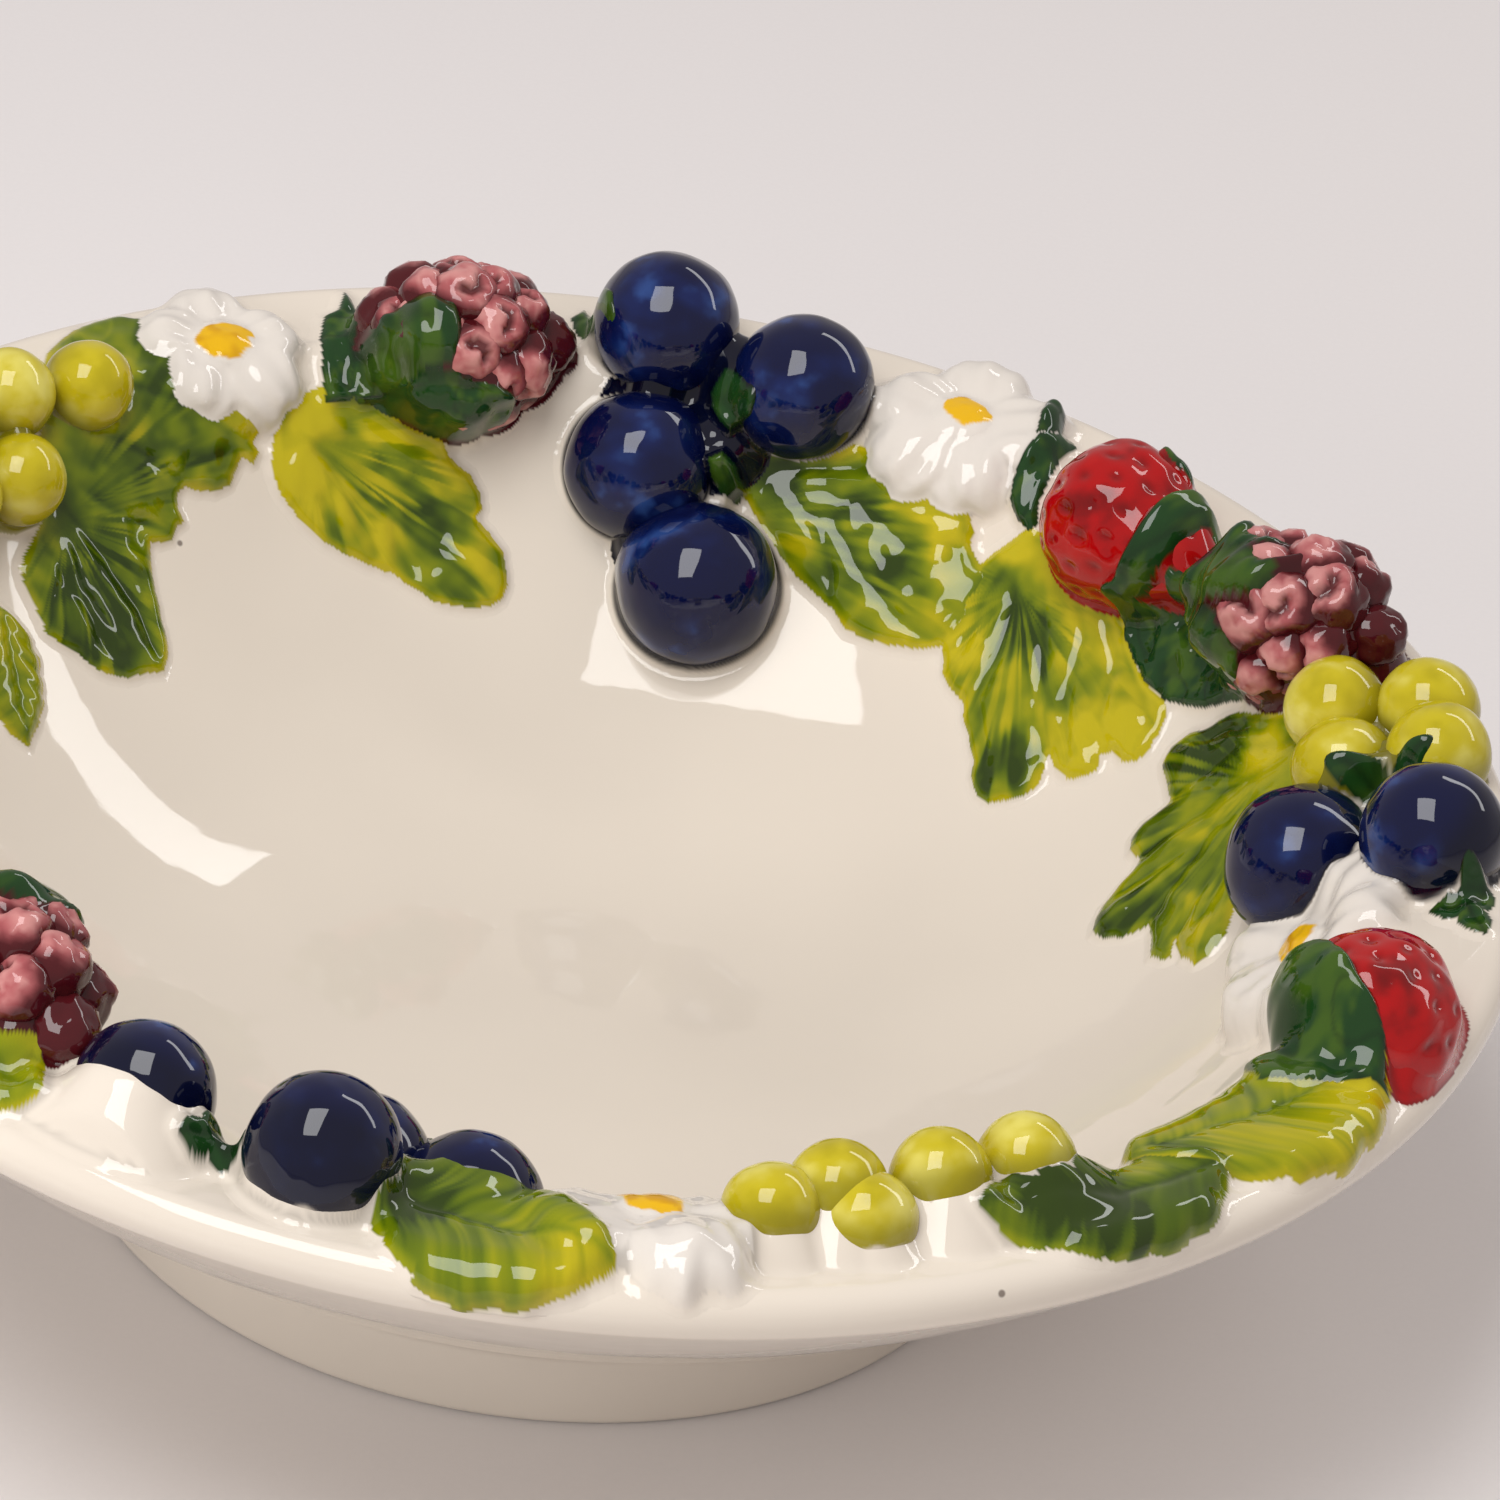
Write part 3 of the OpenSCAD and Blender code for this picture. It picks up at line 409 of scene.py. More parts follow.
# %% The leaves on the wall
TRACED = {
    "vine_leaf_left": {
        "base": (141.2, 0.825),
        "bias": -0.2,
        "thick": 2.2,
        "edge": [
            (134.3, 0.946), (131.4, 0.966), (129.1, 0.972), (127.5, 0.972), (126.6, 0.961), (126.3, 0.936),
            (125.2, 0.921), (124.5, 0.893), (123.9, 0.873), (123.3, 0.861), (122.9, 0.849), (123, 0.838),
            (121.8, 0.835), (120.9, 0.825), (120.9, 0.815), (121.6, 0.809), (121.2, 0.802), (121.8, 0.794),
            (122.9, 0.8), (123.4, 0.793), (124.3, 0.783), (125.8, 0.78), (127.2, 0.783), (128.5, 0.789),
            (129.3, 0.785), (129.6, 0.774), (129.3, 0.764), (130.3, 0.762), (131.1, 0.754), (132.1, 0.754),
            (133.4, 0.756), (134.3, 0.731), (135, 0.698), (135.8, 0.675), (136.5, 0.661), (137.8, 0.651),
            (139.8, 0.656), (142, 0.658), (144, 0.668), (145.1, 0.682), (146.5, 0.705), (147.9, 0.725),
            (147.5, 0.744), (147.6, 0.76), (147.2, 0.776), (146, 0.782), (143.2, 0.798), (141.4, 0.838),
            (137.4, 0.9),
        ],
        "veins": [
            [(135.4, 0.886), (130.4, 0.857), (126.8, 0.838), (123.7, 0.817), (121.6, 0.807)],
            [(138.5, 0.85), (133.7, 0.828), (129.1, 0.794)],
            [(140, 0.822), (136.5, 0.787), (131.4, 0.76)],
            [(141, 0.805), (138.8, 0.754), (137.5, 0.707), (137.7, 0.665)],
            [(144.1, 0.793), (143.7, 0.744), (142.8, 0.687)],
        ],
        "dabs": [
            (130.1, 0.958, 5, 1), (122.3, 0.827, 4, 1), (130.3, 0.803, 3, 1), (133.1, 0.77, 4, 1),
            (136, 0.714, 3, 1), (142.1, 0.731, 9, -1), (125.9, 0.789, 4, -1), (134.7, 0.805, 8, -1),
        ],
    },
    "leaf_back_left": {
        "base": (117.1, 0.839),
        "bias": 0.32,
        "thick": 2.4,
        "edge": [
            (119.7, 0.827), (118.5, 0.831), (116.8, 0.835), (114.6, 0.838), (112.1, 0.833), (110.6, 0.824),
            (108.1, 0.812), (105.6, 0.8), (104.2, 0.785), (103, 0.776), (102, 0.762), (101.9, 0.752),
            (102.4, 0.744), (101.2, 0.733), (100.2, 0.716), (99.7, 0.7), (99.6, 0.687), (100.1, 0.675),
            (101.2, 0.668), (103, 0.665), (105.2, 0.668), (107, 0.673), (108.8, 0.684), (110.6, 0.698),
            (112.9, 0.707), (114.7, 0.716), (116.8, 0.731), (118.8, 0.752), (119.8, 0.77), (120.1, 0.785),
            (120.1, 0.798), (119.7, 0.812),
        ],
        "veins": [
            [(115.6, 0.83), (112.5, 0.803), (109.3, 0.772), (106.3, 0.756), (102.2, 0.748)],
            [(117.6, 0.812), (113.7, 0.776), (107.9, 0.725), (101.4, 0.68)],
            [(116.5, 0.762), (115.3, 0.725)],
            [(113.6, 0.748), (112.2, 0.716)],
            [(110.4, 0.733), (108.9, 0.694)],
        ],
        "dabs": [
            (109.3, 0.774, 6, -1), (105.9, 0.733, 5, -1), (104.4, 0.68, 4, -1), (104.8, 0.78, 6, 1),
            (118.2, 0.78, 6, 1), (109.9, 0.714, 6, 1), (116.5, 0.824, 5, 1),
        ],
    },
    "leaf_back_right": {
        "base": (80.6, 0.803),
        "bias": 0.15,
        "thick": 2.6,
        "edge": [
            (80.9, 0.814), (78.6, 0.815), (76.3, 0.822), (74.4, 0.828), (73, 0.836), (71.1, 0.836),
            (69.1, 0.835), (67.4, 0.836), (65.5, 0.833), (63.4, 0.828), (61.9, 0.824), (60.6, 0.819),
            (59.7, 0.81), (59.5, 0.8), (58.5, 0.794), (56.6, 0.789), (56, 0.77), (56.5, 0.748),
            (57.3, 0.725), (59.7, 0.714), (62.7, 0.707), (65, 0.705), (67, 0.707), (68.7, 0.718),
            (70.9, 0.727), (73.2, 0.738), (75.2, 0.748), (76.8, 0.758), (78, 0.772), (79.4, 0.783),
            (80.2, 0.793),
        ],
        "veins": [
            [(80.4, 0.803), (75, 0.798), (69.8, 0.803), (64.5, 0.814), (61.2, 0.822)],
            [(75.9, 0.796), (72.4, 0.776), (70, 0.746), (69.4, 0.723)],
            [(69.8, 0.802), (64.8, 0.785), (60.1, 0.796)],
            [(71.4, 0.785), (67.7, 0.756), (62.3, 0.729), (58.8, 0.725)],
            [(75.5, 0.812), (70.7, 0.824), (66, 0.827)],
        ],
        "dabs": [
            (64.6, 0.825, 6, 1), (61.1, 0.796, 6, 1), (59.5, 0.736, 8, 1), (72.1, 0.835, 5, 1),
            (76, 0.774, 6, -1), (69.1, 0.805, 5, -1), (63.6, 0.76, 5, -1), (77.1, 0.809, 5, -1),
        ],
    },
    "lobed_leaf_back": {
        "base": (53.3, 0.822),
        "bias": 0.25,
        "thick": 2.2,
        "edge": [
            (58.1, 0.787), (57.6, 0.803), (56.5, 0.817), (55.2, 0.827), (53.3, 0.828), (49.9, 0.824),
            (46.3, 0.82), (43.5, 0.82), (43, 0.809), (41.6, 0.794), (39.4, 0.785), (37, 0.78),
            (35.2, 0.778), (34.4, 0.772), (33.7, 0.76), (33.4, 0.746), (33.6, 0.733), (34.8, 0.725),
            (36.3, 0.725), (36.9, 0.718), (36.2, 0.707), (36.8, 0.696), (38, 0.684), (39.9, 0.684),
            (41.4, 0.691), (40.6, 0.68), (40, 0.665), (40.5, 0.648), (41.3, 0.636), (43.1, 0.623),
            (44.7, 0.623), (46.6, 0.633), (47.7, 0.648), (49.4, 0.661), (51.5, 0.675), (52.8, 0.689),
            (54.4, 0.694), (56.3, 0.705), (57.5, 0.72), (58.2, 0.74), (58.5, 0.762), (58.4, 0.776),
        ],
        "veins": [
            [(55.6, 0.803), (56, 0.77), (55.5, 0.729)],
            [(54.4, 0.8), (52.3, 0.75), (51.5, 0.696), (44.7, 0.638)],
            [(51.9, 0.802), (47.8, 0.752), (44.7, 0.709), (41.5, 0.687)],
            [(48.9, 0.807), (45.6, 0.782), (43.6, 0.736), (39, 0.696)],
            [(46.4, 0.809), (41.9, 0.782), (39.2, 0.74), (36.9, 0.723)],
            [(44.6, 0.809), (38.9, 0.778), (34.9, 0.762)],
        ],
        "dabs": [
            (39.1, 0.714, 7, 1), (35.5, 0.744, 5, 1), (55.8, 0.736, 5, 1), (54.7, 0.776, 7, -1),
            (48.5, 0.768, 6, -1), (45, 0.661, 6, -1), (42.9, 0.785, 6, 1), (55.4, 0.815, 4, 1),
        ],
    },
    "vine_leaf_right": {
        "base": (19.5, 0.828),
        "bias": -0.05,
        "thick": 2.4,
        "edge": [
            (21.3, 0.843), (25.2, 0.822), (28, 0.809), (29.5, 0.796), (29.9, 0.785), (31, 0.774),
            (31.6, 0.758), (31.1, 0.746), (29.6, 0.738), (27.8, 0.733), (26.8, 0.731), (27.1, 0.72),
            (27.3, 0.703), (26.8, 0.687), (25.6, 0.68), (23.8, 0.68), (23, 0.661), (21.6, 0.633),
            (20.3, 0.618), (18.7, 0.611), (17, 0.616), (15.8, 0.633), (15, 0.661), (10.6, 0.651),
            (9.2, 0.661), (9, 0.668), (10.4, 0.677), (8.1, 0.677), (6.1, 0.687), (5.9, 0.7), (7.4, 0.718),
            (9.8, 0.731), (12.3, 0.744), (14.4, 0.762), (14.8, 0.782), (14.6, 0.81), (15.2, 0.839),
        ],
        "veins": [
            [(20.4, 0.822), (25.2, 0.791), (26.8, 0.738)],
            [(19.2, 0.817), (22.2, 0.766), (23.5, 0.684)],
            [(17.9, 0.812), (19.7, 0.746), (15.1, 0.663)],
            [(16.6, 0.807), (16.7, 0.744), (10.3, 0.675)],
            [(21.2, 0.827), (27.3, 0.798), (31.3, 0.76)],
            [(19, 0.783), (16.2, 0.748), (10.5, 0.703)],
        ],
        "dabs": [
            (21, 0.736, 5, 1), (13, 0.725, 6, 1), (11.6, 0.687, 5, 1), (21.9, 0.81, 5, 1),
            (28.4, 0.742, 6, -1), (27.1, 0.798, 8, -1), (19.5, 0.636, 6, -1), (25.4, 0.703, 5, -1),
            (29.2, 0.758, 5, -1),
        ],
    },
}
for k, (leaf_name, row) in enumerate(TRACED.items()):
    traced_leaf(leaf_name, seed=11 + 17 * k, **row)
leaf("small_leaf_left", (151.5, 0.76), (158.5, 0.655), 16, 0.2, seed=4)
leaf("leaf_left_long", (198, 0.82), (180, 0.675), 28, 0.1, seed=5, bend=0.1)
print("leaves on the wall", len(TRACED) + 2)

# %% [markdown]
# ## Berries
# A blueberry or a grape is a pressed ball that sinks into a spreading foot of clay. On the sheet it is a
# ball whose flank runs out as a cone below a certain steepness, which makes its foot. A height above the
# wall can't turn under, so the ball that is seen is a mesh of its own: it is written down in BEADS here
# and pressed in later. On the near side the painter left the undersides ivory, and a bank of ivory clay
# holds them. Between blueberries that touch, a saddle of cobalt is painted near black, as the shade
# between them.

# %% Berries on the sheet
COBALT, COBALT_THIN, COBALT_SHADE = srgb("050C34"), srgb("2C4A86"), srgb("04071A")
GRAPE, GRAPE_SHADE = srgb("C0B01A"), srgb("847C10")
BERRY_R = {"blueberry": 12.2, "grape": 7.7}
STEEP, BANK_STEEP = math.radians(82), math.radians(50)
BEADS = {}


def ball(w, centre, radius, steep=STEEP):
    """Height of a ball over a window, and the distance from the ball's axis as a share of its radius."""
    d = centre - w.p
    b = np.einsum("ijk,ijk->ij", d, w.n)
    off = np.sqrt(np.maximum(np.einsum("ijk,ijk->ij", d, d) - b * b, 0))
    knee = radius * math.sin(steep)
    top = b + np.sqrt(np.maximum(radius * radius - np.minimum(off, knee) ** 2, 0))
    flank = top - np.maximum(off - knee, 0) * math.tan(steep)
    return flank, off / radius


def centre_of(az, share, lift):
    """Place in mm of a point at a height straight above the wall."""
    r, a = share * rim_r, math.radians(az)
    z = np.interp(r, line_p[: lip_top + 1, 0], line_p[: lip_top + 1, 1]) + lift
    return np.array([r * math.cos(a), r * math.sin(a), z])


def berry(name, kind, seed, az, share, lift, size, skirt=None):
    """One ball; below the height skirt, as a share of its radius from the middle, it stays ivory."""
    pid = piece_id(name)
    radius = size * BERRY_R[kind]
    w = Window(az, share, 2.6 * radius + 6)
    c = centre_of(az, share, lift * radius)
    h, off = ball(w, c, radius)
    wall = w.n[w.n.shape[0] // 2, w.n.shape[1] // 2]
    BEADS.setdefault(name, []).append((kind, c, radius, seed, wall, skirt))
    # painted shade: the sheet under the ball, seen at its foot, is dark cobalt for a blueberry and dark
    # yellow green round a grape
    if kind == "blueberry":
        col = mix(COBALT_SHADE, IVORY, smooth(off, 0.98, 1.04))
    else:
        col = mix(GRAPE_SHADE, IVORY, smooth(off, 1.0, 1.1) * (0.4 if skirt is None else 1.0))
    if skirt is not None:
        col = mix(col, IVORY, smooth(off, 0.8, 0.88))
    w.lay(h, pid, col)
    if skirt is not None and skirt > -0.1:
        bank = ball(w, c - (0.62 - 0.4 * skirt) * radius * wall, 1.12 * radius, BANK_STEEP)[0]
        w.lay(bank, pid, IVORY)


def saddle(name, one, other):
    """Saddle of cobalt between two blueberries, if they touch, painted near black as the shade between them.
    """
    a, b = (centre_of(row[0], row[1], row[2] * row[3] * BERRY_R["blueberry"]) for row in (one, other))
    if np.linalg.norm(a - b) < 15 * (one[3] + other[3]):
        w = Window((one[0] + other[0]) / 2, (one[1] + other[1]) / 2, 14)
        h, off = ball(w, (a + b) / 2 - [0, 0, 3.5], 8.2, BANK_STEEP)
        # painted shade between the touching berries
        w.lay(np.where(off < 1.15, h, -1), piece_id(name), srgb("04081E"))

# %% [markdown]
# ## The painted ball
# Cobalt goes on with a loaded brush: nearly black where it is thick, clear blue where it is thin. The
# grapes are a yellow green that is paler or browner in clouds. Both are painted darker on the side that
# faces the wall, as shade. The ball itself is lumpy, as clay is.

# %% The surface of a berry


def berry_bead(p, away, kind, radius, seed, wall, skirt):
    """Surface height and colour of a painted ball, for points p in the directions away from its middle."""
    lump = 0.1 * (clay_noise(p, 11, seed, 2) - 0.5) * radius + 0.3 * (clay_noise(p, 4.5, seed + 4, 2) - 0.5)
    n1, n2 = clay_noise(p, 7, seed + 1), clay_noise(p, 2.2, seed + 2)
    # painted shade: the side of the ball that faces the wall is painted darker
    low = 1 - away @ wall
    if kind == "blueberry":
        col = mix(COBALT, srgb("0E2058"), smooth(n1, 0.45, 0.8) * 0.8)
        col = mix(col, COBALT_THIN, smooth(n1 + 0.4 * n2, 0.84, 1.05) * 0.75)
        col = mix(col, COBALT_SHADE, smooth(low, 0.55, 1.0) * 0.7)
    else:
        col = mix(GRAPE, srgb("DCD26C"), smooth(n1 + 0.3 * n2, 0.6, 0.95) * 0.8)
        col = mix(col, srgb("A89A08"), smooth(1 - n1 + 0.3 * n2, 0.62, 0.95) * 0.8)
        col = mix(col, GRAPE_SHADE, smooth(low, 0.5, 1.1) * 0.7)
    if skirt is not None:
        outward = p.mean(axis=0) * [1, 1, 0]
        outward /= np.linalg.norm(outward)
        edge = 0.8 * away[:, 2] - 0.6 * (away @ outward) + 0.4 * (n1 - 0.5) + 0.1 * (n2 - 0.5)
        col = mix(IVORY, col, smooth(edge, 0.8 * skirt - 0.65, 0.8 * skirt - 0.55))
    return lump, col

# %% [markdown]
# ## The bunches
# Each row is one berry: azimuth, share of the rim's radius, height of its middle in radii, size and, on
# the near side, where its paint stops.

# %% The bunches
BLUEBERRIES = {
    "blueberries_back": [
        (88.1, 0.884, 0.5, 1.04), (76.9, 0.842, 0.5, 1.02),
        (88.7, 0.774, 0.42, 1.07), (81.6, 0.686, 0.4, 1.16),
    ],
    "blueberries_right": [(5, 0.778, 0.6, 1.06), (359.4, 0.895, 0.5, 0.96)],
    "blueberries_front": [
        (266.3, 0.81, 0.6, 0.9, 0), (257, 0.88, 0.55, 0.96, -0.22), (257.5, 0.775, 1.0, 0.96, -0.4),
        (244, 0.86, 0.55, 0.86, 0.33),
    ],
    "blueberries_left": [
        (204, 0.885, 0.56, 0.96, -0.2), (214.5, 0.87, 0.58, 0.94, -0.1), (208.5, 0.77, 0.75, 0.96),
    ],
}
GRAPES = {
    "grapes_left": [
        (142, 0.872, 0.7, 1), (135.4, 0.85, 0.7, 1), (144.9, 0.807, 0.85, 1.02),
        (148.8, 0.88, 0.7, 0.98), (151.8, 0.82, 0.75, 1), (154.6, 0.87, 0.7, 0.96),
    ],
    "grapes_right": [
        (18.5, 0.843, 0.62, 1.12), (15.7, 0.93, 0.55, 1.12),
        (12.3, 0.83, 0.62, 1.14), (10.2, 0.92, 0.55, 1.12),
    ],
    "grapes_front": [
        (304, 0.853, 0.95, 0.98, 0.1), (297.5, 0.853, 0.95, 1, 0.0), (290.3, 0.85, 0.95, 1, 0.05),
        (285.7, 0.867, 0.6, 1, 0.1), (291.7, 0.885, 0.45, 1, 0.15), (300.8, 0.79, 0.7, 1),
        (294.4, 0.785, 0.8, 1), (297.6, 0.715, 0.7, 1), (304, 0.735, 0.7, 0.95),
    ],
}
bunches = [("blueberry", *item) for item in BLUEBERRIES.items()]
bunches += [("grape", *item) for item in GRAPES.items()]
balls = [(piece_name, kind, row) for kind, piece_name, rows in bunches for row in rows]
for k, (piece_name, kind, row) in enumerate(balls):
    berry(piece_name, kind, 107 + 7 * k, *row)
for piece_name, rows in BLUEBERRIES.items():
    for k, row in enumerate(rows):
        for other_row in rows[:k]:
            saddle(piece_name, row, other_row)
print("balls", len(balls))

# %% [markdown]
# ## Blossoms
# Five plump petals, each a little dished, round a small yellow cushion. Each petal could be a squashed
# sphere, but petals overlap and melt into each other under the glaze, which laying them on the sheet
# gives by itself. They stay white; only the middle is dabbed with yellow, and the dab isn't neat.

# %% Petals and middle
WHITE, YELLOW = srgb("DCD5CC"), srgb("E2B006")


def blossom(name, az, share, turn, lift, size=1.0, seed=1):
    """Petals and middle of one blossom."""
    pid, mid_id = piece_id(name + "_petals"), piece_id(name + "_middle")
    w = Window(az, share, 25)
    wob = clay_noise(w.p, 7, seed, 2) - 0.5
    fine = clay_noise(w.p, 2.6, seed + 1, 2) - 0.5
    rng = np.random.default_rng(seed)
    for i in range(5):
        a = math.radians(turn + 72 * i + 6 * rng.normal())
        scale = size * (1 + 0.07 * rng.normal())
        cx, cy = 8.4 * scale * math.cos(a), 8.4 * scale * math.sin(a)
        dx, dy = w.x - cx, w.y - cy
        rad = (dx * math.cos(a) + dy * math.sin(a)) / (8.2 * scale)
        tan = (-dx * math.sin(a) + dy * math.cos(a)) / (7.8 * scale)
        notch = 0.2 * np.exp(-((tan / 0.22) ** 2)) * smooth(rad, 0.3, 1.0)
        d = np.sqrt(rad**2 + tan**2) + notch + 0.22 * wob + 0.08 * fine
        dome = np.power(np.maximum(1 - np.minimum(d, 0.93) ** 2.6, 0), 0.6) - np.maximum(d - 0.93, 0) * 2.6
        folds = np.cos(tan * 9 + 2 * wob) * smooth(1 - d, 0.0, 0.5) * smooth(rad, -0.9, 0.0)
        h = (lift - 0.9 + 0.6 * rng.normal()) * dome
        h = h - 1.5 * np.exp(-(((rad + 0.35) / 0.5) ** 2 + (tan / 0.55) ** 2)) + 0.32 * folds + 0.5 * wob
        w.lay(h, pid, mix(WHITE, IVORY, smooth(d, 0.8, 1.2)))
    r = np.hypot(w.x / 1.25, w.y)
    cushion = lift * 0.55 + 1.5 * np.sqrt(np.maximum(1 - (np.minimum(r, 4.4) / 4.6) ** 2, 0))
    cushion = cushion - np.maximum(r - 4.4, 0) * 3
    dots = clay_noise(w.p, 1.5, seed + 5, 1)
    cushion = cushion + 0.5 * (dots - 0.5)
    dab = smooth(r + 5.5 * wob + 3 * fine, 3.6, 4.0)
    col = mix(mix(YELLOW, srgb("B87C02"), smooth(dots, 0.5, 0.8) * 0.55), WHITE, dab)
    w.lay(cushion, mid_id, col, mask=r < 5.2)

# %% The blossoms
# azimuth, share of the rim's radius, turn, height and size
BLOSSOMS = {
    "blossom_back_left": (122.3, 0.885, 10, 6.2),
    "blossom_back_right": (64.8, 0.885, 20, 6.4, 1.15),
    "blossom_right": (354.6, 0.797, 7, 7.6, 1.25),
    "blossom_front": (278.2, 0.862, 30, 8.5, 1.2),
    "blossom_left": (188, 0.88, 14, 6.2),
}
for k, (piece_name, row) in enumerate(BLOSSOMS.items()):
    blossom(piece_name, *row, seed=300 + 11 * k)
print("blossoms", len(BLOSSOMS))

# %% [markdown]
# ## Lying fruit
# Strawberries and brambles lie on their side, with the stem's end towards their sepals. A seat gives
# their middle and three directions. The sheet takes the fruit's body where the wall's normals leave it,
# and the edge runs down to the wall as a steep cone.

# %% The seat of a lying fruit


def seat(az, share, lift, lean, turn, reach):
    """Window, middle and three directions (stem to tip, across, up) of a lying berry."""
    w = Window(az, share, reach)
    a, tip_a, turn_a = math.radians(az), math.radians(lean), math.radians(turn)
    out, side = np.array([math.cos(a), math.sin(a), 0]), np.array([-math.sin(a), math.cos(a), 0])
    up = np.array([0, 0, 1.0])
    x1 = math.cos(tip_a) * out + math.sin(tip_a) * up
    z1 = -math.sin(tip_a) * out + math.cos(tip_a) * up
    axis = math.cos(turn_a) * x1 + math.sin(turn_a) * side
    cross = -math.sin(turn_a) * x1 + math.cos(turn_a) * side
    return w, centre_of(az, share, lift), axis, cross, z1


def half_width(t, width, shoulder):
    """Half width of a berry at a share of its length from the stem."""
    return width / 2 * np.power(np.sin(np.pi * np.power(np.clip(t, 0.001, 0.999), shoulder)), 0.72)


def reach_of(w, inside, low=-3.0, high=32.0, step=0.5):
    """Height at which the wall's normals leave a solid; inside(p) is above zero in it."""
    best = np.full(w.x.shape, -9.0)
    before = None
    for h in np.arange(high, low, -step):
        f = inside(w.p + h * w.n)
        if before is not None:
            hit = (f > 0) & (before <= 0) & (best < -8)
            part = f / np.maximum(f - before, 1e-9)
            best = np.where(hit, h + part * step, best)
        before = f
    return best


def skirted(w, h, slope=3.2):
    """Lets the edge of a solid run down to the wall as a steep cone."""
    du = float(abs(w.x[1, 0] - w.x[0, 0]))
    for _ in range(24):
        p = np.pad(h, 1, constant_values=-9.0)
        side = np.maximum(p[:-2, 1:-1], p[2:, 1:-1]) - slope * du
        rows = np.maximum(p[1:-1, :-2], p[1:-1, 2:]) - slope * STEP
        corners = [p[:-2, :-2], p[2:, :-2], p[:-2, 2:], p[2:, 2:]]
        diag = np.max(corners, axis=0) - slope * math.hypot(du, STEP)
        h = np.maximum(h, np.max([side, rows, diag], axis=0))
    return h

# %% [markdown]
# ## Strawberries
# A blunt cone with a pit at each seed, in rings that stand half a step apart. Its red is thick and deep in
# patches, and it is painted darker in the pits and low down towards the wall, as shade. The cone on the
# sheet makes the foot; the one that is seen is a ball drawn out to the same outline, written down in
# BEADS, because it bulges over its own foot.

# %% A strawberry
RED, DEEP_RED_AND_SHADE, RED_LIGHT = srgb("A80508"), srgb("5E0305"), srgb("C42018")
STRAWBERRY_SHOULDER = 0.62


def pit_rings(width):
    """Share of the length, radius, count and offset in steps of each ring of seed pits."""
    for k, t in enumerate(np.arange(0.16, 0.98, 0.125)):
        ring = float(half_width(np.array(t), width, STRAWBERRY_SHOULDER))
        yield t, ring, max(3, int(round(2 * math.pi * ring / 6.2))), 0.5 * (k % 2)


def strawberry(name, az, share, lift, lean, turn, seed, length=36.0, width=28.0):
    """A blunt cone of clay with seed pits."""
    w, c, axis, cross, z1 = seat(az, share, lift * width / 2, lean, turn, 0.6 * length + 9)

    def inside(p):
        d = p - c
        t = d @ axis / length + 0.5
        half = half_width(t, width, STRAWBERRY_SHOULDER) * np.where((t > 0) & (t < 1), 1, 0)
        return half - np.hypot(d @ cross, d @ z1)

    wob = clay_noise(w.p, 8, seed, 2) - 0.5
    body = skirted(w, reach_of(w, inside) + 0.8 * wob + 1.3 * (clay_noise(w.p, 4.5, seed + 9, 1) - 0.5))
    d = w.p + body[..., None] * w.n - c
    t, v, up = d @ axis / length + 0.5, d @ cross, d @ z1
    pits = np.zeros_like(body)
    for tt, ring, count, offset in pit_rings(width):
        for i in range(count):
            phi = (i + offset) * 2 * math.pi / count
            beside = (v - ring * math.sin(phi)) ** 2 + (up - ring * math.cos(phi)) ** 2
            pits = np.maximum(pits, np.exp(-(((t - tt) * length) ** 2 / 1.5**2 + beside / 1.15**2)))
    n1, n2 = clay_noise(w.p, 7, seed + 3), clay_noise(w.p, 2.4, seed + 4)
    # painted shade: the red darkens in the seed pits and low down towards the wall
    low = smooth(-body + 3.5, 0, 4)
    col = mix(RED, RED_LIGHT, smooth(n1 + 0.3 * n2, 0.62, 0.95) * 0.55)
    col = mix(col, DEEP_RED_AND_SHADE, pits * 0.7)
    col = mix(col, DEEP_RED_AND_SHADE, low * 0.7)
    w.lay(body - 0.5 * pits, piece_id(name), col)
    BEADS[name] = [("strawberry", c, (length, width), seed, (axis, cross, z1), None)]


def strawberry_bead(t, phi, p, seed, length, width):
    """Surface height and colour of a strawberry at shares t of its length and angles phi round it."""
    n1, n2 = clay_noise(p, 7, seed + 3), clay_noise(p, 2.4, seed + 4)
    pits = np.zeros(len(t))
    for tt, ring, count, offset in pit_rings(width):
        step = 2 * math.pi / count
        near = (phi - offset * step + step / 2) % step - step / 2
        along = (t - tt + 0.03 * (n1 - 0.5)) * length / 1.3
        pits = np.maximum(pits, np.exp(-(along**2) - (near * ring / 1.0) ** 2))
    col = mix(RED, RED_LIGHT, smooth(n1 + 0.3 * n2, 0.7, 1.0) * 0.4)
    col = mix(col, DEEP_RED_AND_SHADE, smooth(1 - n1 + 0.4 * n2, 0.7, 1.05) * 0.75)
    # painted shade in the seed pits
    col = mix(col, DEEP_RED_AND_SHADE, pits * 0.6)
    lump = 1.6 * (clay_noise(p, 8, seed, 2) - 0.5) + 1.0 * (clay_noise(p, 4.5, seed + 9, 1) - 0.5)
    return lump - 0.5 * pits, col

# %% [markdown]
# ## Brambles
# A core packed with drupelets, each with a crescent pressed into it. The rose is painted lighter on each
# drupelet's top as a highlight, and maroon on the sides that face the core and in the crescents, as shade.
# Each drupelet is one small ball on a ring round the core, so that the fruit bulges as the real one does;
# the sheet under them is all maroon, painted shade in the creases between them.

# %% A bramble
ROSE, ROSE_HIGHLIGHT, MAROON_SHADE = srgb("A65558"), srgb("C98A86"), srgb("4A1016")
BRAMBLE_SHOULDER = 0.85


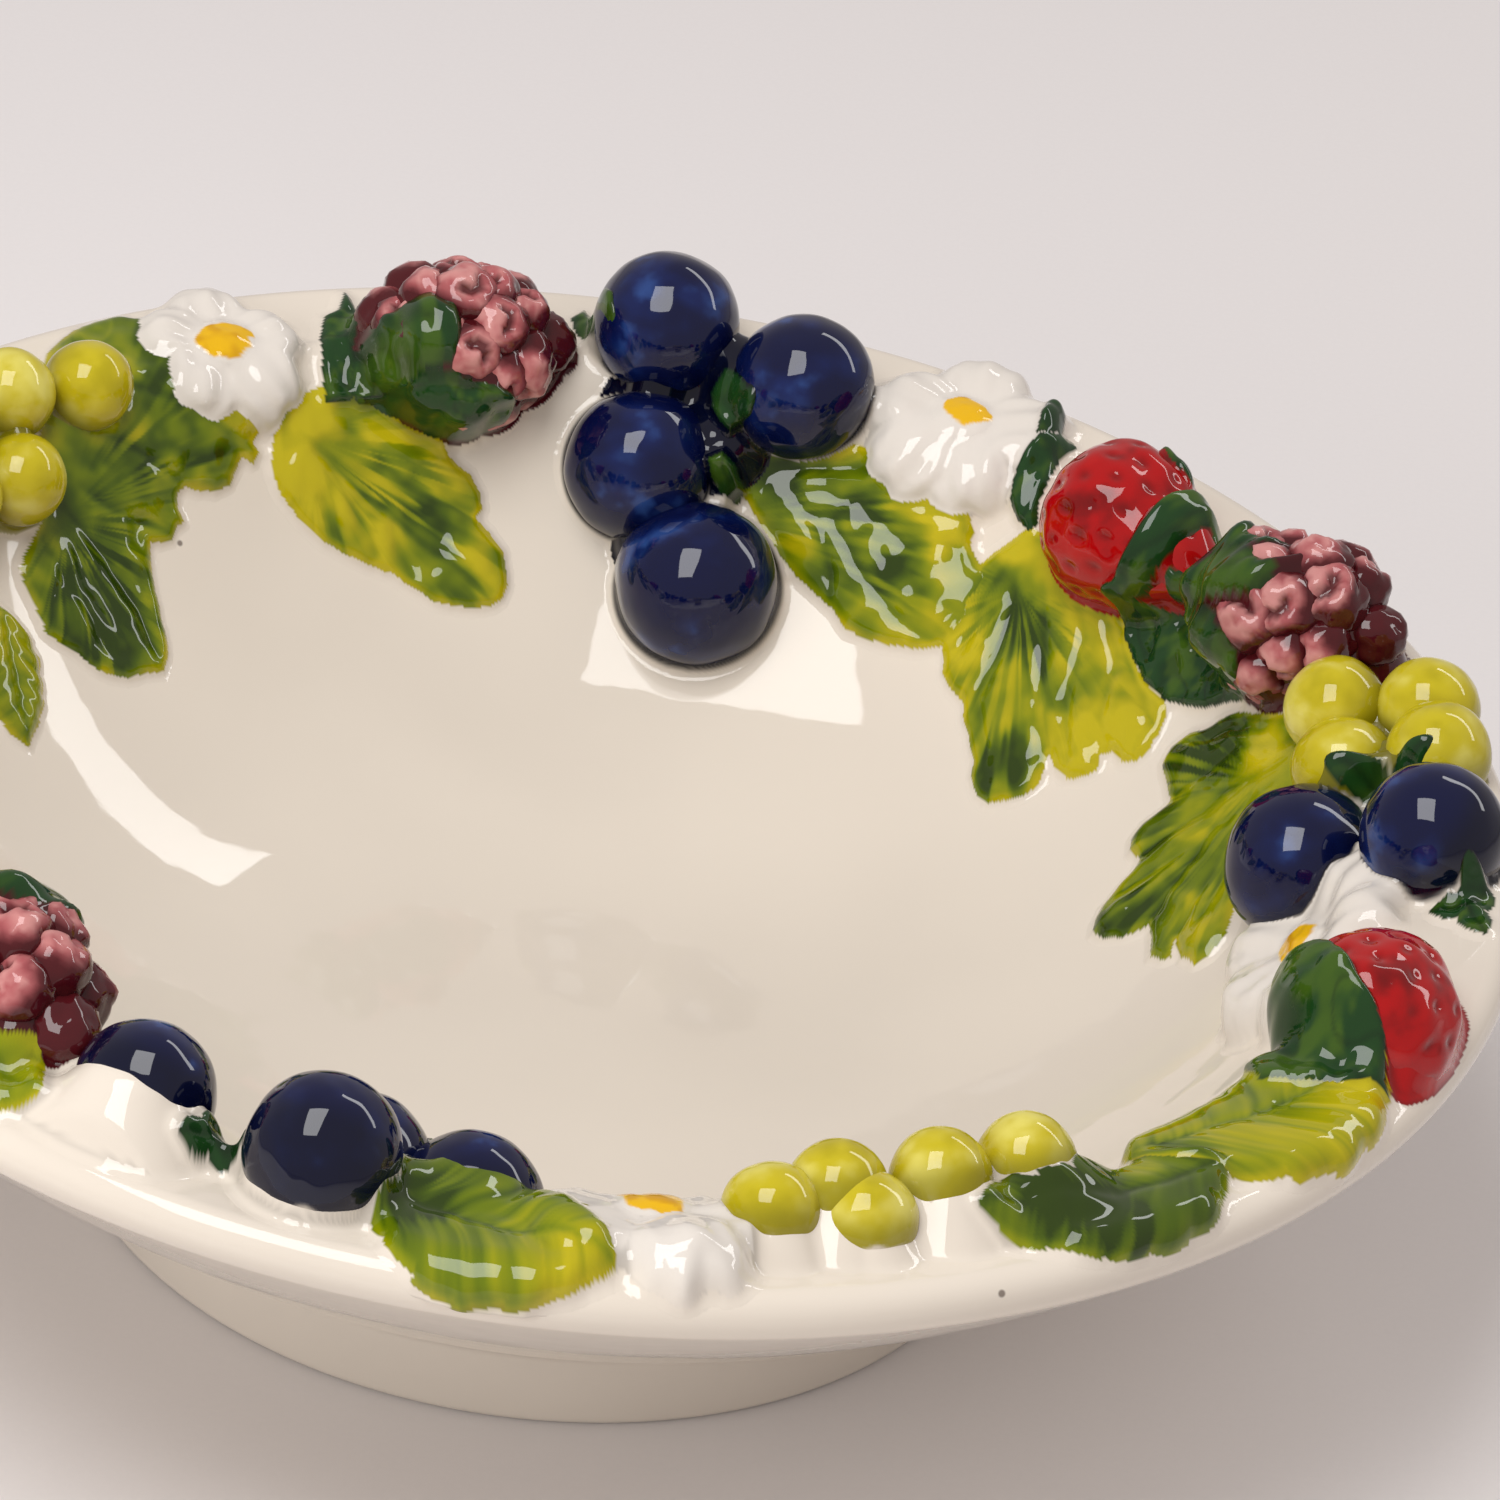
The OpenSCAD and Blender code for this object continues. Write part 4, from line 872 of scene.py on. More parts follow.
def bramble(name, az, share, lift, lean, turn, seed, length=39.0, width=29.0):
    """A core packed with drupelets in six rings."""
    size = 5.7
    w, c, axis, cross, z1 = seat(az, share, lift * width / 2, lean, turn, 0.6 * length + 9)
    rng = np.random.default_rng(seed)
    best = np.full(w.x.shape, -9.0)
    for k_row, tt in enumerate(np.linspace(0.06, 0.94, 6)):
        ring = max(float(half_width(np.array(0.06 + 0.88 * tt), width, BRAMBLE_SHOULDER)) - size * 0.78, 0.6)
        count = 1 if ring < 2.6 else max(4, int(round(2 * math.pi * ring / (1.36 * size))))
        for i in range(count):
            phi = (i + 0.5 * (k_row % 2) + 0.13 * rng.normal()) * 2 * math.pi / count
            out = math.sin(phi) * cross + math.cos(phi) * z1
            place = c + axis * ((tt - 0.5) * (length - 1.5 * size) + 0.5 * rng.normal()) + ring * out
            r = size * (1 + 0.08 * rng.normal())
            # two draws for each drupelet, so that the next ones stay in their places
            aim = rng.uniform(0, 2 * math.pi, 2)[0]
            drupelet = ("drupelet", place, r, seed + 50 * k_row + i, (axis, cross, out), aim)
            BEADS.setdefault(name, []).append(drupelet)
            h, off = ball(w, place, r, math.radians(78))
            d = w.p + h[..., None] * w.n - place
            a1, a2 = d @ axis, d @ cross
            flat = np.hypot(a1, a2)
            facing = (a1 * math.cos(aim) + a2 * math.sin(aim)) / np.maximum(flat, 0.1)
            pressed = np.exp(-(((flat - 0.42 * r) / (0.2 * r)) ** 2)) * smooth(facing, -0.1, 0.6) * (off < 1)
            best = np.maximum(best, h - 1.5 * pressed)
    # the sheet under the drupelets is painted maroon as the shade between them
    w.lay(best, piece_id(name), MAROON_SHADE)


def drupelet_bead(p, away, radius, seed, frame, aim):
    """Surface height and colour of one drupelet with its crescent."""
    axis, cross, out = frame
    a1, a2 = away @ axis, away @ np.cross(out, axis)
    flat = np.hypot(a1, a2)
    facing = (a1 * math.cos(aim) + a2 * math.sin(aim)) / np.maximum(flat, 0.05)
    n1, n2 = clay_noise(p, 3.5, seed), clay_noise(p, 1.1, seed + 5, 2)
    n3 = clay_noise(p, 2.0, seed + 9, 2)
    crescent = (flat - 0.42 - 0.2 * (n3 - 0.5)) / 0.17
    pressed = np.exp(-(crescent**2)) * smooth(facing, -0.2, 0.5) * (away @ out > 0)
    # painted highlight: the top of each drupelet is lighter rose
    light = away @ out + 0.9 * (n3 - 0.5) + 0.7 * (n2 - 0.5)
    col = mix(ROSE, ROSE_HIGHLIGHT, smooth(light, 0.6, 1.15))
    # painted shade: maroon on the sides that face the core and in the crescent
    col = mix(MAROON_SHADE, col, smooth(away @ out + 0.35 * (n3 - 0.5), 0.46, 0.82))
    col = mix(col, MAROON_SHADE, smooth(pressed + 0.3 * (n2 - 0.5), 0.3, 0.7) * 0.9)
    return (0.35 * (n1 - 0.5) + 0.12 * (n3 - 0.5)) * radius - 0.3 * radius * pressed, col

# %% The lying fruit
# azimuth, share of the rim's radius, lift, lean, turn and seed
strawberry("strawberry_back", 45, 0.832, 0.52, 26, -92, 401)
strawberry("strawberry_right", 337.5, 0.9, 0.36, 12, 92, 411)
strawberry("strawberry_left", 170, 0.86, 0.6, 26, -88, 421)
bramble("bramble_back", 103.2, 0.838, 0.52, 26, -88, 431)
bramble("bramble_right", 28.2, 0.862, 0.5, 26, -58, 441)
bramble("bramble_left", 230.6, 0.845, 0.7, 24, 90, 451)
print("lying fruit", sum(n.startswith(("strawberry", "bramble")) for n in BEADS))

# %% [markdown]
# ## Leaves over the rim
# On the near side the leaves lie on the shelf and bend over the lip, so that their backs show from
# outside.

# %% The leaves on the near side
RIM_LEAVES = [
    ("leaf_front_dark", (316, 0.94), (297.6, 0.92), 22, -0.45, 0.0, [
        (306, 0.96, 6, -1), (303, 0.93, 6, -1), (311, 0.9, 4, 1),
    ]),
    ("leaf_front_right", (312, 0.87), (332.6, 0.945), 31, 0.25, 0.06, [(315, 0.9, 5, -1), (329, 0.95, 7, 1)]),
    ("leaf_front_serrated", (260, 0.885), (275.5, 0.965), 28, -0.05, 0.0, [
        (263, 0.9, 6, -1), (273, 0.99, 7, 1),
    ]),
    ("leaf_front_left", (224.5, 0.9), (240, 0.95), 22, 0.25, 0.0, []),
]
rim_thick, rim_notch, rim_fullness = 3.4, 0.06, 0.9
for k, (leaf_name, base, tip, width, bias, bend, dabs) in enumerate(RIM_LEAVES):
    leaf(leaf_name, base, tip, width, bias, rim_thick, rim_notch, 325 + k, rim_fullness, bend, dabs)
print("leaves over the rim", len(RIM_LEAVES))

# %% [markdown]
# ## Sepals and calyxes
# Dark green leaflets are draped over the shoulders of the fruit after it is on. They add their own
# thickness to whatever lies under them. The larger ones are drawn by their outlines, the small ones by a
# length and a width.

# %% Draping a leaflet
SEPAL_RISE, LEAFLET_RISE = 2.0, 1.2


def drape(w, name, inside, groove, rise, seed):
    """Lays a thin dark green pad over whatever is there."""
    rim = rounded_edge(inside, 1.2)
    lumps = clay_noise(w.p, 3.5, seed + 7, 2) - 0.5
    pad = rise * rim * (1 + 0.7 * lumps) - 0.5 * groove * rim
    brushed = clay_noise(w.p * [1, 1, 0.5], 2.2, seed, 2)
    cloud = clay_noise(w.p, 7, seed + 2, 2)
    col = mix(DEEP_GREEN, srgb("3E5A14"), smooth(0.5 * brushed + 0.6 * cloud, 0.5, 0.68) * 0.85)
    # painted shade: darker green in the creases and along the edges of the pad
    col = mix(col, srgb("0C200C"), 0.6 * groove + 0.4 * (1 - smooth(inside, 0, 0.7)))
    h = np.maximum(w.h, 0) + np.maximum(pad, 0.05)
    w.lay(np.where(inside > 0, h, -1), piece_id(name), col, mask=inside > 0)


def traced_sepal(name, edge, seed):
    """A sepal from its outline."""
    w = Window(*middle_of(edge, edge[0][0]), 20)
    inside = depth_inside(w, edge) + 0.5 * (clay_noise(w.p, 2.5, seed, 2) - 0.5)
    crease = smooth(1 - np.abs(clay_noise(w.p, 4, seed + 4, 1) - 0.5) * 9, 0, 1)
    drape(w, name, inside, crease * 0.7, SEPAL_RISE, seed)


def leaflet(name, az, share, turn, length, width, seed):
    """A small pointed leaf from a point; turn 0 points outwards, 90 anticlockwise."""
    w = Window(az, share, length + 4)
    a = math.radians(turn)
    ux, uy = -math.sin(a), math.cos(a)
    u, v = w.x * ux + w.y * uy, -w.x * uy + w.y * ux
    wob = clay_noise(w.p, 4, seed, 2) - 0.5
    t = np.clip(u / length, 0.0005, 0.9995)
    half = width / 2 * np.power(np.sin(np.pi * np.power(t, 0.7)), 0.75) * (1 + 0.3 * wob)
    inside = np.where((u > 0) & (u < length), half - np.abs(v), -1)
    drape(w, name, inside, np.exp(-((v / 0.5) ** 2)), LEAFLET_RISE, seed)

# %% The sepals and calyxes
DRAPED = {
    "bramble_back_sepals": [
        [
            (111, 0.966), (112, 0.933), (113.2, 0.924), (114.3, 0.883), (115, 0.847), (115.3, 0.828),
            (113.3, 0.827), (112.3, 0.836), (112.4, 0.86), (110.7, 0.905), (110.2, 0.88),
        ],
        [
            (113.3, 0.833), (112.4, 0.854), (110.9, 0.861), (109.5, 0.862), (107.4, 0.86), (105.8, 0.855),
            (105.4, 0.85), (105.6, 0.846), (106.4, 0.841), (107.8, 0.839), (109.2, 0.835), (110.4, 0.828),
            (112.5, 0.825),
        ],
        [
            (112.7, 0.83), (110.5, 0.831), (109.6, 0.838), (108, 0.841), (106.2, 0.84), (104.5, 0.838),
            (102.1, 0.835), (100.7, 0.831), (99.7, 0.825), (100.1, 0.814), (101.5, 0.807), (103.2, 0.8),
            (104.9, 0.8), (106.7, 0.803), (108.6, 0.812), (110.5, 0.819),
        ],
    ],
    "strawberry_back_sepals": [
        [
            (60.4, 0.968), (59.6, 0.968), (58.4, 0.947), (57.7, 0.922), (58, 0.902), (58.7, 0.891),
            (59.5, 0.922),
        ],
        [
            (57.4, 0.936), (57.7, 0.91), (58.5, 0.889), (58.6, 0.869), (58.5, 0.85), (57.8, 0.836),
            (56.7, 0.828), (55.3, 0.825), (54.9, 0.83), (55.6, 0.842), (56.1, 0.866), (56.7, 0.899),
            (56.6, 0.929),
        ],
        [
            (49.5, 0.93), (48, 0.935), (45.5, 0.915), (44, 0.9), (43.5, 0.888), (45.3, 0.888), (47.5, 0.9),
        ],
    ],
    "bramble_right_sepals": [
        [
            (44.2, 0.815), (42.7, 0.827), (42.3, 0.843), (42.9, 0.867), (42.5, 0.894), (41, 0.908),
            (39.6, 0.849), (40.1, 0.835), (41.6, 0.819), (43.3, 0.812),
        ],
        [
            (38.9, 0.836), (39.3, 0.846), (33.9, 0.85), (33.4, 0.856), (30.9, 0.861), (28.4, 0.862),
            (27.1, 0.862), (26.5, 0.855), (28.8, 0.848), (32.2, 0.842),
        ],
        [
            (43.5, 0.809), (42.1, 0.822), (39.5, 0.828), (33, 0.842), (28.8, 0.844), (26.4, 0.842),
            (26, 0.838), (26.1, 0.83), (29.4, 0.81), (31.8, 0.793), (35.2, 0.78), (38.3, 0.782),
            (40.6, 0.789), (42.4, 0.798),
        ],
        [
            (41, 0.874), (41, 0.908), (32.5, 0.865), (31, 0.869), (29.9, 0.872), (29.9, 0.866),
            (31.6, 0.86), (33.4, 0.854),
        ],
    ],
    "strawberry_right_sepals": [
        [
            (325.5, 0.87), (328, 0.84), (332, 0.828), (335, 0.838), (335, 0.862), (333.5, 0.89), (332, 0.92),
            (331, 0.96), (329.5, 0.975), (327.5, 0.94),
        ],
    ],
    "blueberries_back_calyxes": [
        [
            (95.2, 0.927), (94.2, 0.947), (92.6, 0.874), (92.1, 0.862), (92.3, 0.859), (93, 0.862),
            (94, 0.879), (94.9, 0.902),
        ],
        [
            (83.8, 0.842), (82.8, 0.852), (80.7, 0.845), (79.6, 0.841), (80, 0.835), (81.5, 0.825),
            (82.7, 0.831),
        ],
        [
            (82.8, 0.803), (81.6, 0.809), (80.3, 0.803), (79.5, 0.789), (79.9, 0.778), (81.4, 0.782),
            (82.4, 0.793),
        ],
    ],
}
ARMS = {
    "strawberry_left_sepals": [
        (178, 0.89, -66, 13, 8), (178.6, 0.86, -96, 14, 8), (178.4, 0.83, -126, 12, 8), (179, 0.87, 60, 7, 8),
    ],
    "bramble_left_sepals": [
        (222.6, 0.88, 62, 24, 11), (222, 0.85, 90, 25, 11),
        (222.6, 0.82, 112, 16, 9), (221.6, 0.86, 200, 8, 8),
    ],
    "blueberries_right_calyxes": [
        (7.4, 0.865, 10, 8, 4.5), (7.4, 0.865, 120, 7, 4.5), (7.4, 0.865, -110, 7, 4.5),
        (353.4, 0.94, 60, 7, 5.5), (353.4, 0.94, -60, 7, 5.5), (353.4, 0.94, 180, 6, 5),
    ],
    "blueberries_front_calyxes": [
        (250, 0.9, 80, 5.5, 4), (250, 0.9, -40, 5.5, 4), (250, 0.9, 200, 5, 4), (262.2, 0.82, 90, 5, 4),
    ],
    "blueberries_left_calyxes": [(209, 0.865, 0, 7, 5), (209, 0.865, 120, 6.5, 5), (209, 0.865, -110, 7, 5)],
}
for k, (piece_name, shapes) in enumerate(DRAPED.items()):
    for i, shape in enumerate(shapes):
        traced_sepal(piece_name, shape, 500 + 13 * k + i)
for k, (piece_name, rows) in enumerate(ARMS.items()):
    for i, row in enumerate(rows):
        leaflet(piece_name, *row, 600 + 13 * k + i)
print("sheet's highest point", round(float(height.max()), 1), "mm")

# %% [markdown]
# ## The glaze flows
# Thick glaze rounds off every crease. Rolling a ball over the relief does the same: where the ball can't
# reach the bottom of a crease, glaze stands in it. A subdivision modifier would round the creases too,
# but it would shrink the sprigs and tell nothing about depth. The depth that is filled sets how much
# shade is painted into the creases.

# %% Rolling a ball over the relief
NEIGHBOURS = ((1, 0), (-1, 0), (0, 1), (0, -1))


def shifted(a, i, j):
    """The sheet moved by i columns and j rows."""
    out = np.roll(a, i, axis=0)
    if j > 0:
        out = np.concatenate([np.repeat(out[:, :1], j, axis=1), out[:, :-j]], axis=1)
    if j < 0:
        out = np.concatenate([out[:, -j:], np.repeat(out[:, -1:], -j, axis=1)], axis=1)
    return out


def cap_of(radius):
    """Columns, rows and height of the points of a ball's upper half."""
    du, dv = 2 * math.pi * 0.83 * rim_r / COLUMNS, STEP
    return [
        (i, j, math.sqrt(radius**2 - (i * du) ** 2 - (j * dv) ** 2))
        for i in range(-int(radius / du), int(radius / du) + 1)
        for j in range(-int(radius / dv), int(radius / dv) + 1)
        if (i * du) ** 2 + (j * dv) ** 2 < radius**2
    ]


def rolled(a, radius):
    """The relief with its creases filled as far as a ball of this radius leaves them."""
    grown, shrunk = np.full_like(a, -np.inf), np.full_like(a, np.inf)
    for i, j, up in cap_of(radius):
        np.maximum(grown, shifted(a, i, j) + (up - radius), out=grown)
    for i, j, up in cap_of(radius):
        np.minimum(shrunk, shifted(grown, i, j) - (up - radius), out=shrunk)
    return shrunk


def worn(a, radius):
    """The relief with a skin of this thickness taken off."""
    out = np.full_like(a, np.inf)
    for i, j, up in cap_of(radius):
        np.minimum(out, shifted(a, i, j) - up, out=out)
    return out


def blurred(a, times):
    """A few passes of a small blur in both directions."""
    for _ in range(times):
        a = 0.5 * a + 0.125 * sum(shifted(a, i, j) for i, j in NEIGHBOURS)
    return a

# %% Glaze in the creases
glaze_r, skin = 2.4, 1.3
height = np.maximum(height, 0)
# under the round fruit the sheet is worn down, so that only its foot and the glaze round it show
under_bead = np.isin(owner, [names.index(n) for n in BEADS])
height = np.where(under_bead, np.maximum(worn(height, skin), 0), height)
flowed = blurred(rolled(height, glaze_r), 3)
# the glaze lies thickest on the leaves and softens them most
is_leaf = np.isin(owner, [i for i, n in enumerate(names) if "leaf" in n]).astype(float)
flowed = flowed + (blurred(flowed, 9) - flowed) * blurred(is_leaf, 5)
pool = np.clip(flowed - height, 0, 3)
print("deepest pool", round(float(pool.max()), 2), "mm")

# %% [markdown]
# ## Colour in the pooled glaze
# Colour runs a little into the glaze beside a sprig, and the paint under deep glaze in the creases is
# darkened, as painted shade. Both follow the depth of the pool. The raised glaze round a sprig then counts
# as part of it, so that no step shows where bowl and sprig meet.

# %% Colour of the pools
bare = owner == 0
spread = paint * ~bare[..., None]
weight = (~bare).astype(float)
for _ in range(4):
    spread = np.stack([blurred(spread[..., c], 3) for c in range(3)], -1)
    weight = blurred(weight, 3)
near_paint = spread / np.maximum(weight, 1e-4)[..., None]
halo = np.clip(weight, 0, 1) * smooth(flowed, 0.02, 0.5)
paint = np.where(bare[..., None], mix(paint, near_paint, 0.75 * smooth(pool, 0.9, 1.8) * halo), paint)
# painted shade: paint darkens where the glaze fills its creases
paint = paint * (1 - 0.3 * (smooth(pool, 0.25, 1.6) * ~bare)[..., None])

# %% Glaze that belongs to a sprig
for _ in range(40):
    open_cells = (owner == 0) & (flowed > 0.015)
    grown = owner.copy()
    for i, j in NEIGHBOURS:
        near_owner = shifted(owner, i, j)
        grown = np.where((grown == 0) & open_cells & (near_owner > 0), near_owner, grown)
    owner = grown
print("cells covered by sprigs:", round(100 * float((owner > 0).mean())), "%")

# %% [markdown]
# ## Cutting the sheet into sprigs
# Each sprig starts as a flat grid, is laid into its place on the wall, trimmed to the cells it owns and
# given a back that sinks a little into the bowl. Three more rows of cells beyond its edge dip under the
# neighbours, so that no gap shows. Trimming and the back are the same delete and extrude that one would
# do by hand.

# %% Small helpers for a mesh
# how deep each ring of cells dips below the glaze: none, the sprig's own, then one to three rows beyond it
DIP = np.array([0, 0, 0.03, 0.1, 0.3])
bedded = 0.5


def slot_of(name):
    """The record's slot for the finish of a sprig."""
    for ending, slot in (
        ("_sepals", "dark_green_glaze"), ("_calyxes", "dark_green_glaze"),
        ("_petals", "blossom_glaze"), ("_middle", "yellow_glaze"),
    ):
        if name.endswith(ending):
            return slot
    fruit = {"blueberries": "cobalt_glaze", "grapes": "grape_glaze", "strawberry": "strawberry_glaze",
             "bramble": "bramble_glaze"}
    return fruit.get(name.split("_")[0], "leaf_glaze")


def points_of(mesh):
    """A mesh's points as an array."""
    co = np.zeros(len(mesh.vertices) * 3, dtype=np.float32)
    mesh.vertices.foreach_get("co", co)
    return co.reshape(-1, 3)


def lay_paint(mesh, colours):
    """Stores a colour for each point."""
    rgba = np.ones((len(mesh.vertices), 4), dtype=np.float32)
    rgba[:, :3] = colours
    mesh.color_attributes.new("paint", "FLOAT_COLOR", "POINT").data.foreach_set("color", rgba.ravel())


def face_outwards():
    """Turns all faces of the active piece outwards and shades them smooth."""
    bpy.ops.object.mode_set(mode="EDIT")
    bpy.ops.mesh.select_all(action="SELECT")
    bpy.ops.mesh.normals_make_consistent(inside=False)
    bpy.ops.object.mode_set(mode="OBJECT")
    bpy.ops.object.shade_smooth()

# %% Pressing a sprig


def rings_of(mine):
    """1 on a piece's own cells, 2 to 4 on the rows of cells round them."""
    ring = mine.astype(int)
    for level in (2, 3, 4):
        near_ring = np.zeros_like(mine)
        for i, j in NEIGHBOURS:
            near_ring |= shifted(ring, i, j) > 0
        ring = np.where((ring == 0) & near_ring, level, ring)
    return ring


def press(name):
    """Makes the piece of this name out of the sheet."""
    ring = rings_of(owner == names.index(name))
    cols = np.flatnonzero((ring > 0).any(axis=1))
    rows = np.flatnonzero((ring > 0).any(axis=0))
    gaps = np.diff(np.concatenate([cols, [cols[0] + COLUMNS]]))
    start = cols[(int(np.argmax(gaps)) + 1) % len(cols)]
    count = COLUMNS - int(gaps.max()) + 1
    at = np.ix_((start + np.arange(count)) % COLUMNS, rows)
    bpy.ops.mesh.primitive_grid_add(
        x_subdivisions=len(rows) - 1, y_subdivisions=count - 1, size=1, location=(0, 0, 0)
    )
    piece = bpy.context.object
    piece.name = piece.data.name = name
    mesh = piece.data
    top = lifted(flowed)[at] - wall_n[at] * DIP[ring[at]][..., None]
    mesh.vertices.foreach_set("co", (top * MM).astype(np.float32).ravel())
    cell = mesh.attributes.new("cell", "INT", "POINT")
    cell.data.foreach_set("value", np.arange(count * len(rows), dtype=np.int32))
    corner = np.zeros(len(mesh.loops), dtype=np.int32)
    mesh.loops.foreach_get("vertex_index", corner)
    used = (ring[at] > 0).ravel()
    bpy.ops.object.mode_set(mode="EDIT")
    bpy.ops.mesh.select_mode(type="FACE")
    bpy.ops.mesh.select_all(action="DESELECT")
    bpy.ops.object.mode_set(mode="OBJECT")
    mesh.polygons.foreach_set("select", ~used[corner].reshape(-1, 4).all(axis=1))
    bpy.ops.object.mode_set(mode="EDIT")
    bpy.ops.mesh.delete(type="FACE")
    bpy.ops.mesh.select_all(action="SELECT")
    bpy.ops.mesh.normals_make_consistent(inside=False)
    bpy.ops.mesh.extrude_region_move()
    bpy.ops.object.mode_set(mode="OBJECT")
    index = np.zeros(len(mesh.vertices), dtype=np.int32)
    mesh.attributes["cell"].data.foreach_get("value", index)
    back = np.zeros(len(mesh.vertices), dtype=bool)
    mesh.vertices.foreach_get("select", back)
    co = points_of(mesh)
    under = (lifted(np.full((COLUMNS, ROWS), -bedded))[at] * MM).reshape(-1, 3)
    co[back] = under[index[back]]
    mesh.vertices.foreach_set("co", co.ravel())
    lay_paint(mesh, paint[at].reshape(-1, 3)[index])
    face_outwards()
    piece.select_set(False)
    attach(piece, "root")
    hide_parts(name)
    return piece

# %% [markdown]
# ## Round fruit
# The berries, drupelets and strawberries are real balls. An ico sphere has even triangles all over and
# suits berries; a UV sphere has rings from pole to pole and suits a strawberry, whose outline runs along
# them. Each ball gets its lumps and its paint and is joined into its sprig. Below the wall it stops just
# inside the clay.

# %% Joining the round fruit
clay_depth = 2.0
LEVELS = {"blueberry": 5, "grape": 5, "drupelet": 4}


def drawn_out(unit, place, size, frame, seed):
    """Points and colour of a strawberry, from the directions of a ball's points."""
    length, width = size
    axis, cross, up = frame
    t = 0.5 - np.arcsin(np.clip(unit[:, 2], -1, 1)) / math.pi
    phi = np.arctan2(unit[:, 1], unit[:, 0])
    out = np.sin(phi)[:, None] * cross + np.cos(phi)[:, None] * up
    half = half_width(t, width, STRAWBERRY_SHOULDER) * ((t > 0.001) & (t < 0.999))
    p = place + (t - 0.5)[:, None] * length * axis + half[:, None] * out
    lump, col = strawberry_bead(t, phi, p, seed, length, width)
    return p + (lump * smooth(half, 0, 3))[:, None] * out, col


def bead(kind, place, size, seed, frame, extra):
    """One round fruit as a mesh of its own."""
    if kind == "strawberry":
        bpy.ops.mesh.primitive_uv_sphere_add(segments=160, ring_count=110, radius=1, location=(0, 0, 0))
    else:
        # a berry with a painted edge needs finer points for it
        levels = LEVELS[kind] + (kind == "blueberry" and extra is not None)
        bpy.ops.mesh.primitive_ico_sphere_add(subdivisions=levels, radius=1, location=(0, 0, 0))
    mesh = bpy.context.object.data
    unit = points_of(mesh).astype(float)
    unit /= np.linalg.norm(unit, axis=1, keepdims=True)
    if kind == "strawberry":
        p, col = drawn_out(unit, place, size, frame, seed)
    else:
        p = place + size * unit
        if kind == "drupelet":
            lump, col = drupelet_bead(p, unit, size, seed, frame, extra)
        else:
            lump, col = berry_bead(p, unit, kind, size, seed, frame, extra)
        p = p + lump[:, None] * unit
    reach = np.hypot(p[:, 0], p[:, 1])
    deepest = np.interp(reach, line_p[: lip_top + 1, 0], line_p[: lip_top + 1, 1]) - clay_depth
    p[:, 2] = np.where(reach < line_p[lip_top, 0], np.maximum(p[:, 2], deepest), p[:, 2])
    mesh.vertices.foreach_set("co", (p * MM).astype(np.float32).ravel())
    lay_paint(mesh, col)
    face_outwards()
    return bpy.context.object


def add_beads(piece, rows):
    """Presses the round fruit of a piece into it."""
    made = [bead(*row) for row in rows]
    bpy.ops.object.select_all(action="DESELECT")
    for one in made:
        one.select_set(True)
    piece.select_set(True)
    bpy.context.view_layer.objects.active = piece
    bpy.ops.object.join()
    piece.select_set(False)

# %% All the sprigs
sprigs = {}
for sprig_name in names[1:]:
    sprigs[sprig_name] = press(sprig_name)
    if sprig_name in BEADS:
        add_beads(sprigs[sprig_name], BEADS[sprig_name])
print("sprigs", len(sprigs), "faces", sum(len(p.data.polygons) for p in sprigs.values()))

# %% [markdown]
# ## The bowl and its foot
# Both are turned about the vertical axis, so each is one line spun round. A finely stepped line keeps the
# reflections in the glaze smooth.

# %% The outside of the bowl
floor_t, belly_r = 6.0, 450.0
foot_r, foot_h, foot_flare, foot_wall = 76.0, 15.8, 2.5, 12.0
foot_top = np.array([foot_r + foot_flare, foot_h])
chord = lip_c - foot_top
chord_len = float(np.linalg.norm(chord))
chord_u = chord / chord_len
belly_a = (belly_r**2 - (belly_r - lip_r) ** 2 + chord_len**2) / (2 * chord_len)
belly_side = math.sqrt(belly_r**2 - belly_a**2)
belly_c = foot_top + belly_a * chord_u + belly_side * np.array([-chord_u[1], chord_u[0]])
out_dir = (lip_c - belly_c) / np.linalg.norm(lip_c - belly_c)
lip_end = math.atan2(out_dir[1], out_dir[0])
belly_start = math.atan2(foot_top[1] - belly_c[1], foot_top[0] - belly_c[0])

# %% Spinning a line


def spin(name, outline, steps=360):
    """Turns a line of radius and height points into a closed solid."""
    bpy.ops.mesh.primitive_plane_add(size=1, location=(0, 0, 0))
    piece = bpy.context.object
    piece.name = piece.data.name = name
    bpy.ops.object.mode_set(mode="EDIT")
    bpy.ops.mesh.select_all(action="SELECT")
    bpy.ops.mesh.delete(type="VERT")
    bpy.ops.object.mode_set(mode="OBJECT")
    mesh = piece.data
    mesh.vertices.add(len(outline))
    points = np.array([[r * MM, 0, z * MM] for r, z in outline], dtype=np.float32)
    mesh.vertices.foreach_set("co", points.ravel())
    closed = outline[0][0] > 0.01
    pairs = [(i, i + 1) for i in range(len(outline) - 1)] + ([(len(outline) - 1, 0)] if closed else [])
    mesh.edges.add(len(pairs))
    mesh.edges.foreach_set("vertices", np.array(pairs, dtype=np.int32).ravel())
    mesh.update()
    bpy.ops.object.mode_set(mode="EDIT")
    bpy.ops.mesh.select_all(action="SELECT")
    bpy.ops.mesh.spin(steps=steps, angle=2 * math.pi, center=(0, 0, 0), axis=(0, 0, 1))
    bpy.ops.mesh.select_all(action="SELECT")
    bpy.ops.mesh.remove_doubles(threshold=1e-6)
    bpy.ops.mesh.normals_make_consistent(inside=False)
    bpy.ops.object.mode_set(mode="OBJECT")
    bpy.ops.object.shade_smooth_by_angle(angle=math.radians(40))
    piece.select_set(False)
    return piece

